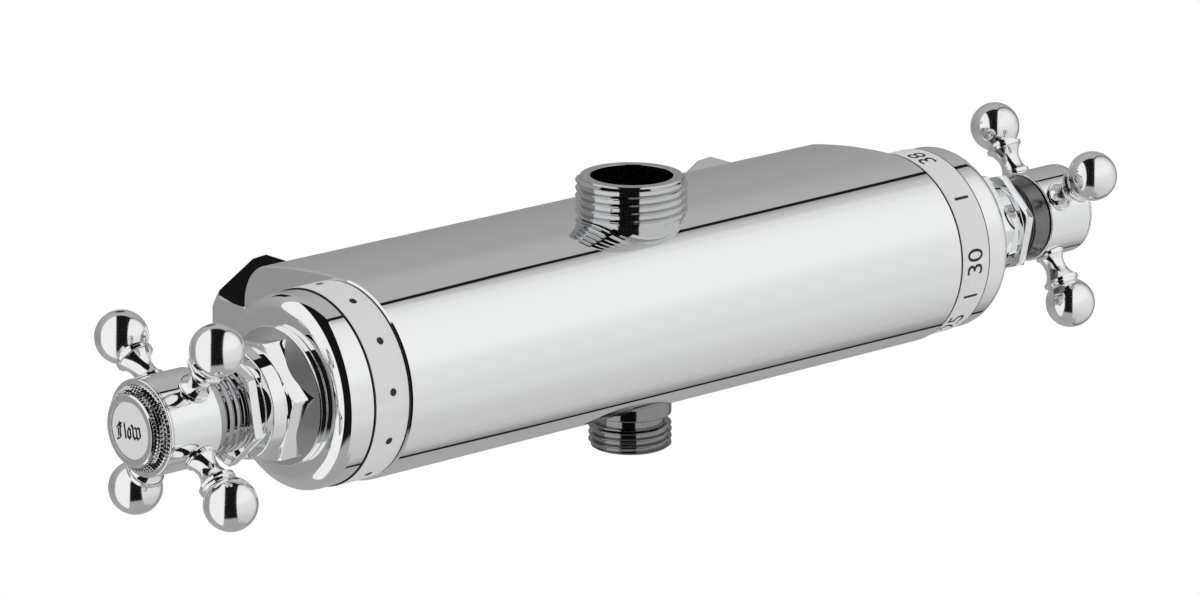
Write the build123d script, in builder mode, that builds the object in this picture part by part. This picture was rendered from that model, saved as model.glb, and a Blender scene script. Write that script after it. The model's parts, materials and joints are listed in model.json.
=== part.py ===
"""Exposed bar shower mixer with two cross handles, in millimetres.

The bar runs along X, with the flow handle at -X and the temperature handle at +X.
+Z is up and +Y points into the wall. The origin lies midway between the two wall
connections, in the plane of the open ends of the two union nuts.
"""

import os
from math import cos, radians, sin, sqrt

from build123d import *

# Bar and its stand-off from the wall
inlet_centres = 150.0
stand_off = 54.0
body_length = 185.0
front_radius = 24.8
back_depth = 38.5
crown_radius = 160.0
back_corner_radius = 11.0
body_edge_chamfer = 0.4

# Spigots, graduated rings and end caps
spigot_radius = 21.0
ring_radius = 24.2
ring_width = 10.7
ring_edge_chamfer = 0.35
cap_radius = 23.9
cap_length = 8.8
cap_shoulder_radius = 4.0
cap_recess_radius = 19.0
cap_recess_depth = 3.5

# Bonnet, the large hexagon at each end
bonnet_thread_radius = 15.5
bonnet_engagement = 7.2
bonnet_flange_radius = 17.0
bonnet_flange_length = 2.0
bonnet_cone_radius = 16.75
bonnet_cone_top_radius = 13.9
bonnet_cone_length = 4.3
bonnet_across_flats = 28.0
bonnet_hex_length = 7.3
bonnet_band_radius = 13.0
bonnet_band_length = 3.9
bonnet_bore_radius = 11.0
bonnet_bore_length = 20.0
bonnet_corner_angle = 169.0
hex_chamfer = 1.1

# Nose of the bonnet with its lock nut and stop collar
nose_radius = 9.0
neck_radius = 10.4
neck_length = 3.0
lock_nut_across_flats = 24.0
lock_nut_length = 2.4
flow_lock_nut_corner_angle = 139.0
temperature_lock_nut_corner_angle = 162.0
collar_gap = 3.0
collar_radius = 11.2
collar_length = 5.4

# Cross handles
hub_gap = 0.3
hub_radius = 11.8
hub_length = 15.1
hub_edge_chamfer = 0.4
hub_recess_radius = 8.6
hub_recess_depth = 4.0
hub_web = 2.5
arm_from_hub_back = 4.6
arm_count = 4
arm_stud_radius = 2.0
arm_stud_depth = 4.5
arm_foot_radius = 3.9
arm_waist_radius = 2.75
arm_lip_radius = 4.7
arm_lip_width = 1.0
arm_lip_from_axis = 19.0
ball_radius = 6.5
ball_from_axis = 25.7
flow_arm_angle = 38.0
temperature_arm_angle = 55.5
index_cap_radius = 10.45
index_cap_face_radius = 8.4
index_cap_shoulder_radius = 9.85
index_cap_length = 3.2
index_cap_wall = 1.9
index_disc_radius = 6.9
index_disc_thickness = 0.8
hub_screw_head_radius = 3.5
hub_screw_head_length = 2.4
hub_screw_radius = 2.0
hub_screw_length = 10.0
hub_screw_socket = 3.0

# Spindles
spindle_radius = 5.0
spindle_end_radius = 4.0
spindle_flat = 3.2
spindle_o_ring_section = 0.55
spindle_o_ring_pitch = 5.0

# Pockets for the two cartridges, measured from the spigot's end
pocket_radius = 15.0
flow_pocket_depth = 31.2
temperature_pocket_depth = 67.2

# Ceramic flow cartridge
flow_cavity_radius = 12.0
flow_gasket_thickness = 1.5
flow_disc_thickness = 3.5
flow_disc_radius = 11.7
flow_driver_radius = 11.2
flow_driver_thickness = 3.0
flow_driver_pin_radius = 1.2
flow_driver_pin_length = 1.5
flow_driver_pin_circle = 8.0
flow_port_circle = 8.2
flow_port_radius = 2.6
flow_inlet_port_radius = 3.2
flow_slot_depth = 1.8

# Temperature cartridge
sleeve_bore_radius = 11.0
sleeve_seat_bore_radius = 9.6
hot_seat_from_floor = 8.0
cold_seat_width = 2.0
carrier_chamber_length = 17.0
control_gap = 1.2
port_groove_width = 6.0
port_groove_depth = 1.4
port_hole_radius = 2.0
port_hole_count = 6
sleeve_o_ring_section = 0.9
slide_wall = 1.6
slide_web_from_end = 13.0
slide_web_thickness = 3.0
slide_vent_radius = 1.5
slide_vent_circle = 7.0
slide_vent_count = 6
wax_body_radius = 4.5
wax_body_length = 18.0
wax_neck_radius = 3.0
wax_neck_length = 6.0
wax_piston_radius = 1.5
carrier_radius = 8.8
carrier_wall = 2.3
carrier_length = 12.8
carrier_end_thickness = 3.5
carrier_lug_width = 3.0
carrier_lug_reach = 12.6
carrier_from_seat = 1.0
overload_wire = 1.2
overload_turns = 4.0
piston_cap_thickness = 1.5
return_wire = 1.2
return_coil_radius = 8.0
return_turns = 5.5
screw_thread_radius = 3.0
temperature_thread_pitch = 2.5
temperature_turn_degrees = 135.0
spindle_collar_radius = 6.5
spindle_collar_length = 2.5
gland_recess_depth = 4.8

# Waterways inside the body
mixed_way_radius = 4.5
outlet_way_radius = 3.2
outlet_way_height = 9.5
outlet_well_radius = 5.0
hot_way_radius = 5.5
hot_way_depth = 26.0
inlet_way_radius = 6.0
cross_way_radius = 4.5

# Outlet nipples
top_outlet_thread_radius = 14.0
top_outlet_neck_radius = 12.3
top_outlet_bore_radius = 10.35
top_outlet_height = 35.0
top_outlet_thread_length = 10.0
bottom_outlet_thread_radius = 10.4775
bottom_outlet_boss_radius = 10.4
bottom_outlet_boss_height = 1.4
bottom_outlet_neck_radius = 8.7
bottom_outlet_bore_radius = 7.5
bottom_outlet_height = 34.8
bottom_outlet_thread_length = 6.0
nipple_seat_height = 14.0
thread_chamfer = 1.0
outlet_o_ring_section = 0.8
outlet_o_ring_height = 17.0

# Wall connections with their union nuts and check valves
union_across_flats = 30.0
union_thread_bore_radius = 12.06
union_thread_length = 8.0
union_recess_radius = 12.4
union_recess_length = 4.0
union_shoulder_length = 2.8
union_chamfer = 1.8
tail_radius = 10.5
tail_bore_radius = 7.6
tail_collar_radius = 11.95
tail_root_depth = 28.0
tail_cavity_depth = 14.5
washer_thickness = 2.0
washer_bore_radius = 6.5
check_body_radius = 7.5
check_body_length = 13.0
check_bore_radius = 5.6
check_seat_radius = 4.2
check_seat_length = 2.5
poppet_radius = 5.1
poppet_thickness = 1.2
poppet_stem_radius = 1.2
guide_radius = 2.4
guide_thickness = 1.5
guide_rib_width = 1.2
guide_rib_count = 3
check_wire = 0.5
check_turns = 5.0

# Clearances
seat_clearance = 0.02
running_clearance = 0.05
pocket_clearance = 0.15
coil_clearance = 0.05

# Places worked out from the sizes above
bar_y = -stand_off
bar_axis = Axis((0, bar_y, 0), (1, 0, 0))
body_half = body_length / 2
spigot_end = body_half + ring_width
cap_face = spigot_end + cap_length
bonnet_inner = spigot_end - bonnet_engagement
flange_end = cap_face + bonnet_flange_length
hex_end = flange_end + bonnet_hex_length
band_end = hex_end + bonnet_band_length
bonnet_bore_end = bonnet_inner + bonnet_bore_length
lock_nut_start = band_end + neck_length
lock_nut_end = lock_nut_start + lock_nut_length
collar_start = lock_nut_end + collar_gap
collar_end = collar_start + collar_length
nose_end = collar_end - hub_gap
hub_start = collar_end + hub_gap
hub_end = hub_start + hub_length
hub_recess_floor = hub_end - hub_recess_depth
hub_bore_end = hub_recess_floor - hub_web
arm_station = hub_start + arm_from_hub_back
index_end = hub_end + index_cap_length
spindle_end = hub_bore_end - seat_clearance
flow_floor = spigot_end - flow_pocket_depth
temperature_floor = spigot_end - temperature_pocket_depth
sleeve_length = temperature_pocket_depth - bonnet_engagement
cold_seat_from_floor = sleeve_length - carrier_chamber_length
union_shoulder = union_thread_length + union_recess_length
union_length = union_shoulder + union_shoulder_length
tail_mouth = union_thread_length + washer_thickness
tail_root = stand_off - tail_root_depth
ends = (
    ("flow", -1, flow_arm_angle, flow_lock_nut_corner_angle),
    ("temperature", 1, temperature_arm_angle, temperature_lock_nut_corner_angle),
)
inlets = (("hot", -1), ("cold", 1))


def across(station):
    """Plane square to the bar: local x points to the wall, local y points up."""
    return Plane(origin=(station, bar_y, 0), x_dir=(0, 1, 0), z_dir=(1, 0, 0))


def profile_plane(side):
    """Plane through the bar's axis: local x runs outwards along the bar, local y is the radius."""
    return Plane(origin=(0, bar_y, 0), x_dir=(side, 0, 0), z_dir=(0, -side, 0))


def turn(side, *outline, mode=Mode.ADD):
    """Revolve a closed outline of (station, radius) points about the bar's axis."""
    with BuildSketch(profile_plane(side)) as profile:
        with BuildLine():
            Polyline(*outline, close=True)
        make_face()
    revolve(profile.sketch, axis=bar_axis, mode=mode)


def tube(side, start, end, outer, inner=0.0, mode=Mode.ADD):
    """Revolve a plain cylinder or tube between two stations."""
    turn(side, (start, inner), (start, outer), (end, outer), (end, inner), mode=mode)


def drill(plane, radius, depth):
    """Cut a round hole along a plane's normal."""
    with BuildSketch(plane) as hole:
        Circle(radius)
    extrude(hole.sketch, amount=depth, mode=Mode.SUBTRACT)


def o_ring(side, station, outer_radius, section):
    """Add a round-section ring whose outside touches outer_radius."""
    with BuildSketch(profile_plane(side)) as profile:
        with Locations((station, outer_radius - section)):
            Circle(section)
    revolve(profile.sketch, axis=bar_axis)


def hexagon(side, start, end, across_flats, corner_angle, corner_cut):
    """Add a hexagon whose corners are turned off at both faces."""
    with BuildSketch(across(side * start)) as outline:
        RegularPolygon(across_flats / 2, 6, major_radius=False, rotation=corner_angle)
    extrude(outline.sketch, amount=side * (end - start))
    corner = across_flats / 2 / cos(radians(30))
    rise = corner_cut / 2
    turn(
        side,
        (start, 0),
        (start, corner - corner_cut),
        (start + rise, corner),
        (end - rise, corner),
        (end, corner - corner_cut),
        (end, 0),
        mode=Mode.INTERSECT,
    )


def coil(plane, coil_radius, wire, turns, length):
    """Add a helical spring that stands on a plane, along its normal."""
    height = length - wire - 2 * coil_clearance
    foot = plane.offset(wire / 2 + coil_clearance).origin
    with BuildLine() as path:
        Helix(height / turns, height, coil_radius, center=foot, direction=plane.z_dir)
    with BuildSketch(Plane(origin=path.line @ 0, z_dir=path.line % 0)) as section:
        Circle(wire / 2)
    sweep(section.sketch, path=path.line)


def save(piece, label):
    """Label a finished piece and write its file."""
    piece.part.label = label
    export_step(piece.part, f"parts/{label}.step")


def crown_height(depth):
    """Height of the body's gently crowned top at a depth behind the bar's axis."""
    return front_radius - crown_radius + sqrt(crown_radius**2 - depth**2)


def cut_waterways():
    """Cut the cored ways that join the inlets, the two pockets and the outlets."""
    drill(across(-flow_floor), mixed_way_radius, flow_floor + temperature_floor)
    for height in (outlet_way_height, -outlet_way_height):
        outlet_way = Plane(origin=(-flow_floor, bar_y, height), x_dir=(0, 1, 0), z_dir=(1, 0, 0))
        drill(outlet_way, outlet_way_radius, flow_floor + outlet_way_radius)
    hot_way = Plane(
        origin=(-inlet_centres / 2, bar_y + hot_way_depth, 0), x_dir=(0, 1, 0), z_dir=(1, 0, 0)
    )
    hot_port = temperature_floor + hot_seat_from_floor + control_gap
    drill(hot_way, hot_way_radius, inlet_centres / 2 + hot_port + cross_way_radius)
    cross_way = Plane(origin=(hot_port, bar_y, 0), x_dir=(1, 0, 0), z_dir=(0, 1, 0))
    drill(cross_way, cross_way_radius, hot_way_depth)
    cold_way = Plane(origin=(inlet_centres / 2, bar_y, 0), x_dir=(1, 0, 0), z_dir=(0, 1, 0))
    drill(cold_way, inlet_way_radius, tail_root_depth)


def cut_outlet_ports():
    """Cut the seats of the two outlet nipples and the wells that feed them."""
    seats = ((1, top_outlet_neck_radius), (-1, bottom_outlet_boss_radius))
    for up, radius in seats:
        seat = Plane(origin=(0, bar_y, up * nipple_seat_height), x_dir=(1, 0, 0), z_dir=(0, 0, up))
        drill(seat, radius + seat_clearance, front_radius)
        well_floor = up * outlet_way_height
        well = Plane(origin=(0, bar_y, well_floor), x_dir=(1, 0, 0), z_dir=(0, 0, up))
        drill(well, outlet_well_radius, front_radius)


def build_body():
    """The cast bar: a half-round front on a crowned block, bored from both ends."""
    with BuildPart() as body:
        with BuildSketch(across(-body_half)) as section:
            with BuildLine():
                ThreePointArc((0, -front_radius), (-front_radius, 0), (0, front_radius))
                for up in (1, -1):
                    ThreePointArc(
                        (0, up * front_radius),
                        (back_depth / 2, up * crown_height(back_depth / 2)),
                        (back_depth, up * crown_height(back_depth)),
                    )
                Line((back_depth, crown_height(back_depth)), (back_depth, -crown_height(back_depth)))
            make_face()
            fillet(section.vertices().group_by(Axis.X)[-1], back_corner_radius)
        extrude(section.sketch, amount=body_length)
        chamfer(body.faces().filter_by(Axis.X).edges(), body_edge_chamfer)
        for name, side, arm_angle, nut_angle in ends:
            tube(side, body_half, spigot_end, spigot_radius)
        for side, floor in ((-1, flow_floor), (1, temperature_floor)):
            tube(side, floor, spigot_end, pocket_radius, mode=Mode.SUBTRACT)
            tube(side, bonnet_inner, spigot_end, bonnet_thread_radius + seat_clearance, mode=Mode.SUBTRACT)
        for name, side in inlets:
            mouth = Plane(
                origin=(side * inlet_centres / 2, bar_y + tail_root_depth, 0), x_dir=(1, 0, 0), z_dir=(0, 1, 0)
            )
            drill(mouth, tail_radius + seat_clearance, back_depth)
        cut_waterways()
        cut_outlet_ports()
    save(body, "body")


def build_ring(name, side):
    """The graduated ring that sits on the spigot between the body and the end cap."""
    with BuildPart() as ring:
        turn(
            side,
            (body_half, spigot_radius + seat_clearance),
            (body_half, ring_radius - ring_edge_chamfer),
            (body_half + ring_edge_chamfer, ring_radius),
            (spigot_end - ring_edge_chamfer, ring_radius),
            (spigot_end, ring_radius - ring_edge_chamfer),
            (spigot_end, spigot_radius + seat_clearance),
        )
    save(ring, f"{name}_ring")


def build_end_cap(name, side):
    """The polished cap with a rounded shoulder, clamped on the spigot by the bonnet."""
    shoulder = cap_face - cap_shoulder_radius
    flat = cap_radius - cap_shoulder_radius
    reach = cap_shoulder_radius * sin(radians(45))
    bore = bonnet_thread_radius + running_clearance
    with BuildPart() as cap:
        with BuildSketch(profile_plane(side)) as profile:
            with BuildLine():
                Polyline(
                    (cap_face, flat),
                    (cap_face, bore),
                    (spigot_end + cap_recess_depth, bore),
                    (spigot_end + cap_recess_depth, cap_recess_radius),
                    (spigot_end, cap_recess_radius),
                    (spigot_end, cap_radius - ring_edge_chamfer),
                    (spigot_end + ring_edge_chamfer, cap_radius),
                    (shoulder, cap_radius),
                )
                ThreePointArc((shoulder, cap_radius), (shoulder + reach, flat + reach), (cap_face, flat))
            make_face()
        revolve(profile.sketch, axis=bar_axis)
    save(cap, f"{name}_end_cap")


def build_bonnet(name, side):
    """The turned hexagon bonnet: shank in the body, flange and cone on the cap, nose for the lock nut."""
    bore = spindle_radius + running_clearance
    with BuildPart() as bonnet:
        hexagon(side, flange_end, hex_end, bonnet_across_flats, bonnet_corner_angle, hex_chamfer)
        tube(side, bonnet_inner, cap_face, bonnet_thread_radius)
        turn(
            side,
            (cap_face, 0),
            (cap_face, bonnet_flange_radius),
            (flange_end - ring_edge_chamfer, bonnet_flange_radius),
            (flange_end, bonnet_cone_radius),
            (flange_end + bonnet_cone_length, bonnet_cone_top_radius),
            (flange_end + bonnet_cone_length, 0),
        )
        turn(
            side,
            (hex_end, 0),
            (hex_end, bonnet_band_radius),
            (band_end - ring_edge_chamfer, bonnet_band_radius),
            (band_end, bonnet_band_radius - ring_edge_chamfer),
            (band_end, neck_radius),
            (lock_nut_start, neck_radius),
            (lock_nut_start, nose_radius),
            (nose_end, nose_radius),
            (nose_end, 0),
        )
        tube(side, bonnet_inner, bonnet_bore_end, bonnet_bore_radius, mode=Mode.SUBTRACT)
        tube(side, bonnet_bore_end, nose_end, bore, mode=Mode.SUBTRACT)
    save(bonnet, f"{name}_bonnet")


def build_lock_nut(name, side, corner_angle):
    """The thin hexagon nut that is run down on the bonnet's nose."""
    with BuildPart() as nut:
        hexagon(side, lock_nut_start, lock_nut_end, lock_nut_across_flats, corner_angle, hex_chamfer / 2)
        bore = nose_radius + seat_clearance
        tube(side, lock_nut_start, lock_nut_end, bore, mode=Mode.SUBTRACT)
    save(nut, f"{name}_lock_nut")


def build_stop_collar(name, side):
    """The plain collar between the lock nut and the handle, which carries the end stops."""
    with BuildPart() as collar:
        inner = nose_radius + seat_clearance
        tube(side, lock_nut_end, collar_end, collar_radius, inner)
        tube(side, lock_nut_end, collar_start, collar_radius, neck_radius, mode=Mode.SUBTRACT)
    save(collar, f"{name}_stop_collar")


def double_flat(radius, flat):
    """Sketch a round end with two flats, inside an open sketch."""
    Circle(radius)
    Rectangle(2 * flat, 2 * radius, mode=Mode.INTERSECT)


def build_hub(name, side, first_angle):
    """The handle's hub: double-flat bore, recess for the index cap and sockets for the arms."""
    with BuildPart() as hub:
        turn(
            side,
            (hub_start, 0),
            (hub_start, hub_radius - hub_edge_chamfer),
            (hub_start + hub_edge_chamfer, hub_radius),
            (hub_end - hub_edge_chamfer, hub_radius),
            (hub_end, hub_radius - hub_edge_chamfer),
            (hub_end, 0),
        )
        tube(side, hub_recess_floor, hub_end, hub_recess_radius, mode=Mode.SUBTRACT)
        tube(side, hub_bore_end, hub_recess_floor, hub_screw_radius + seat_clearance, mode=Mode.SUBTRACT)
        with BuildSketch(across(side * hub_start)) as socket:
            double_flat(spindle_end_radius + seat_clearance, spindle_flat + seat_clearance)
        extrude(socket.sketch, amount=side * (hub_bore_end - hub_start), mode=Mode.SUBTRACT)
        for index in range(arm_count):
            arm_plane = radial_plane(side, first_angle + index * 360 / arm_count)
            drill(arm_plane.offset(hub_radius - arm_stud_depth), arm_stud_radius + seat_clearance, hub_radius)
    save(hub, f"{name}_hub")


def radial_plane(side, angle):
    """Plane square to one arm, on the bar's axis at the arms' station."""
    outwards = (0, cos(radians(angle)), sin(radians(angle)))
    return Plane(origin=(side * arm_station, bar_y, 0), x_dir=(1, 0, 0), z_dir=outwards)


def build_arm(name, side, angle, number):
    """One turned arm: threaded stud, saddle foot, waist, stepped lip and ball."""
    square = radial_plane(side, angle)
    outwards = square.z_dir
    along = Plane(origin=square.origin, x_dir=outwards, z_dir=(1, 0, 0))
    foot_inside = hub_radius - arm_stud_depth / 2
    foot_top = hub_radius + arm_foot_radius / 6
    lip_start = arm_lip_from_axis
    lip_end = lip_start + arm_lip_width
    throat = arm_lip_radius - arm_lip_width / 2
    ball_start = ball_from_axis - sqrt(ball_radius**2 - throat**2)
    waist = (foot_top + lip_start) / 2 - arm_lip_width / 2
    with BuildPart() as arm:
        with BuildSketch(along) as profile:
            with BuildLine():
                Polyline(
                    (ball_from_axis + ball_radius, 0),
                    (foot_inside, 0),
                    (foot_inside, arm_foot_radius),
                    (foot_top, arm_foot_radius),
                )
                ThreePointArc((foot_top, arm_foot_radius), (waist, arm_waist_radius), (lip_start, throat))
                Polyline(
                    (lip_start, throat),
                    (lip_start, arm_lip_radius),
                    (lip_end, arm_lip_radius),
                    (ball_start, throat),
                )
                ThreePointArc(
                    (ball_start, throat), (ball_from_axis, ball_radius), (ball_from_axis + ball_radius, 0)
                )
            make_face()
        revolve(profile.sketch, axis=Axis(square.origin, outwards))
        reach = arm_foot_radius + arm_stud_radius
        saddle = hub_radius + seat_clearance
        tube(side, arm_station - reach, arm_station + reach, saddle, mode=Mode.SUBTRACT)
        with BuildSketch(square.offset(hub_radius - arm_stud_depth + seat_clearance)) as stud:
            Circle(arm_stud_radius)
        extrude(stud.sketch, amount=arm_stud_depth + arm_waist_radius / 2)
    save(arm, f"{name}_arm_{number}")


def build_handle(name, side, first_angle):
    """Hub, four arms, hub screw, knurled index cap and index disc."""
    build_hub(name, side, first_angle)
    for index in range(arm_count):
        build_arm(name, side, first_angle + index * 360 / arm_count, index + 1)
    head_end = hub_recess_floor + hub_screw_head_length
    with BuildPart() as screw:
        tube(side, hub_recess_floor, head_end, hub_screw_head_radius)
        tube(side, hub_recess_floor - hub_screw_length, hub_recess_floor, hub_screw_radius)
        with BuildSketch(across(side * head_end)) as socket:
            RegularPolygon(hub_screw_socket / 2, 6, major_radius=False)
        extrude(socket.sketch, amount=-side * hub_screw_head_length / 2, mode=Mode.SUBTRACT)
    save(screw, f"{name}_hub_screw")
    with BuildPart() as cap:
        turn(
            side,
            (hub_recess_floor + hub_web, 0),
            (hub_recess_floor + hub_web, hub_recess_radius - seat_clearance),
            (hub_end, hub_recess_radius - seat_clearance),
            (hub_end, index_cap_radius),
            ((hub_end + index_end) / 2, index_cap_shoulder_radius),
            (index_end, index_cap_face_radius),
            (index_end, 0),
        )
        floor = index_end - index_disc_thickness
        tube(side, floor, index_end, index_disc_radius + seat_clearance, mode=Mode.SUBTRACT)
        inside = hub_recess_radius - index_cap_wall
        tube(side, hub_recess_floor + hub_web, hub_end, inside, mode=Mode.SUBTRACT)
    save(cap, f"{name}_index_cap")
    with BuildPart() as disc:
        tube(side, floor, index_end, index_disc_radius)
    save(disc, f"{name}_index_disc")


def add_spindle(side, start, outer, outer_end):
    """Shaft from a start station to the hub, with screw hole and two flats for the hub."""
    tube(side, start, outer_end, outer)
    tube(side, outer_end, collar_end, spindle_end_radius)
    with BuildSketch(across(side * collar_end)) as flats:
        double_flat(spindle_end_radius, spindle_flat)
    extrude(flats.sketch, amount=side * (spindle_end - collar_end))
    hole_start = hub_recess_floor - hub_screw_length - hub_web
    tube(side, hole_start, spindle_end, hub_screw_radius + seat_clearance, mode=Mode.SUBTRACT)


def spindle_o_ring_stations():
    """The two stations of the spindle seals, near the outer end of the gland."""
    first = bonnet_inner + spindle_o_ring_pitch * 1.8
    return (first, first + spindle_o_ring_pitch)


def cut_spindle_grooves(side):
    """Cut the grooves that hold the spindle seals."""
    width = 1.3 * spindle_o_ring_section
    floor = spindle_radius + running_clearance - 2 * spindle_o_ring_section - 3 * seat_clearance
    for station in spindle_o_ring_stations():
        tube(side, station - width, station + width, spindle_radius, floor, mode=Mode.SUBTRACT)


def build_spindle_o_rings(name, side):
    """The pair of seals that ride in the spindle's grooves."""
    with BuildPart() as seals:
        for station in spindle_o_ring_stations():
            outer = spindle_radius + running_clearance - seat_clearance
            o_ring(side, station, outer, spindle_o_ring_section)
    save(seals, f"{name}_spindle_o_rings")


def flow_ports(station, depth, side):
    """Cut the inlet port and the two outlet ports of the flow cartridge."""
    drill(across(side * station), flow_inlet_port_radius, side * depth)
    for angle in (90, 270):
        port = across(side * station).shift_origin(
            (side * station, bar_y, flow_port_circle * sin(radians(angle)))
        )
        drill(port, flow_port_radius, side * depth)


def build_flow_cartridge():
    """Housing, seat gasket, two ceramic discs and the spindle with its driver."""
    side = -1
    gasket_end = flow_floor + flow_gasket_thickness
    fixed_end = gasket_end + flow_disc_thickness
    moving_end = fixed_end + flow_disc_thickness
    driver_end = moving_end + flow_driver_thickness
    ceiling = driver_end + 2 * running_clearance
    shaft_bore = spindle_radius + running_clearance
    housing_radius = pocket_radius - pocket_clearance
    neck = bonnet_bore_radius - pocket_clearance
    with BuildPart() as housing:
        tube(side, flow_floor, bonnet_inner, housing_radius, shaft_bore)
        tube(side, bonnet_inner, bonnet_bore_end, neck, shaft_bore)
        tube(side, flow_floor, ceiling, flow_cavity_radius, mode=Mode.SUBTRACT)
    save(housing, "flow_cartridge_housing")
    with BuildPart() as gasket:
        tube(side, flow_floor, gasket_end, flow_cavity_radius - seat_clearance)
        flow_ports(flow_floor, flow_gasket_thickness, side)
    save(gasket, "flow_seat_gasket")
    with BuildPart() as fixed_disc:
        tube(side, gasket_end, fixed_end, flow_disc_radius)
        flow_ports(gasket_end, flow_disc_thickness, side)
    save(fixed_disc, "flow_fixed_disc")
    pin_places = ((flow_driver_pin_circle, 0), (-flow_driver_pin_circle, 0))
    with BuildPart() as moving_disc:
        tube(side, fixed_end, moving_end, flow_disc_radius - running_clearance)
        with BuildSketch(across(side * fixed_end)) as slot:
            with Locations((flow_port_circle / 2, 0)):
                SlotCenterToCenter(flow_port_circle, 2 * flow_port_radius)
        extrude(slot.sketch, amount=side * flow_slot_depth, mode=Mode.SUBTRACT)
        with BuildSketch(across(side * moving_end)) as pin_holes:
            with Locations(*pin_places):
                Circle(flow_driver_pin_radius + seat_clearance)
        extrude(pin_holes.sketch, amount=-side * flow_driver_pin_length, mode=Mode.SUBTRACT)
    save(moving_disc, "flow_moving_disc")
    with BuildPart() as spindle:
        tube(side, moving_end, driver_end, flow_driver_radius)
        add_spindle(side, driver_end, spindle_radius, nose_end)
        with BuildSketch(across(side * moving_end)) as pins:
            with Locations(*pin_places):
                Circle(flow_driver_pin_radius)
        extrude(pins.sketch, amount=-side * (flow_driver_pin_length - seat_clearance))
        cut_spindle_grooves(side)
    save(spindle, "flow_spindle")
    build_spindle_o_rings("flow", side)


def sleeve_o_ring_stations():
    """Stations of the three seals that part the hot, cold and dry sides of the sleeve."""
    first = temperature_floor + port_groove_width / 2
    middle = temperature_floor + (hot_seat_from_floor + cold_seat_from_floor) / 2
    last = temperature_floor + sleeve_length - port_groove_width / 2
    return (first, middle, last)


def build_sleeve():
    """The fixed sleeve of the temperature cartridge, with its two rings of ports."""
    side = 1
    outer = pocket_radius - pocket_clearance
    hot_seat = temperature_floor + hot_seat_from_floor
    cold_seat = temperature_floor + cold_seat_from_floor
    sleeve_end = temperature_floor + sleeve_length
    groove = sleeve_o_ring_section + 2 * seat_clearance
    with BuildPart() as sleeve:
        tube(side, temperature_floor, sleeve_end, outer, sleeve_bore_radius)
        tube(side, temperature_floor, hot_seat, sleeve_bore_radius, sleeve_seat_bore_radius)
        tube(side, cold_seat, cold_seat + cold_seat_width, sleeve_bore_radius, sleeve_seat_bore_radius)
        for station in (hot_seat + control_gap, cold_seat - control_gap):
            near = station - port_groove_width / 2
            far = station + port_groove_width / 2
            tube(side, near, far, outer, outer - port_groove_depth, mode=Mode.SUBTRACT)
            for index in range(port_hole_count):
                angle = radians(index * 360 / port_hole_count)
                port = Plane(
                    origin=(station, bar_y, 0), x_dir=(1, 0, 0), z_dir=(0, cos(angle), sin(angle))
                )
                drill(port.offset(sleeve_seat_bore_radius), port_hole_radius, outer)
        for station in sleeve_o_ring_stations():
            floor = pocket_radius - 2 * sleeve_o_ring_section - 2 * seat_clearance
            tube(side, station - groove, station + groove, outer, floor, mode=Mode.SUBTRACT)
        with BuildSketch(across(sleeve_end)) as keyways:
            Rectangle(2 * (carrier_lug_reach + running_clearance), carrier_lug_width + 2 * running_clearance)
        keyway_length = sleeve_length - cold_seat_from_floor - cold_seat_width
        extrude(keyways.sketch, amount=-keyway_length, mode=Mode.SUBTRACT)
    save(sleeve, "temperature_sleeve")
    with BuildPart() as seals:
        for station in sleeve_o_ring_stations():
            o_ring(side, station, pocket_radius - seat_clearance, sleeve_o_ring_section)
    save(seals, "temperature_sleeve_o_rings")


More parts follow.
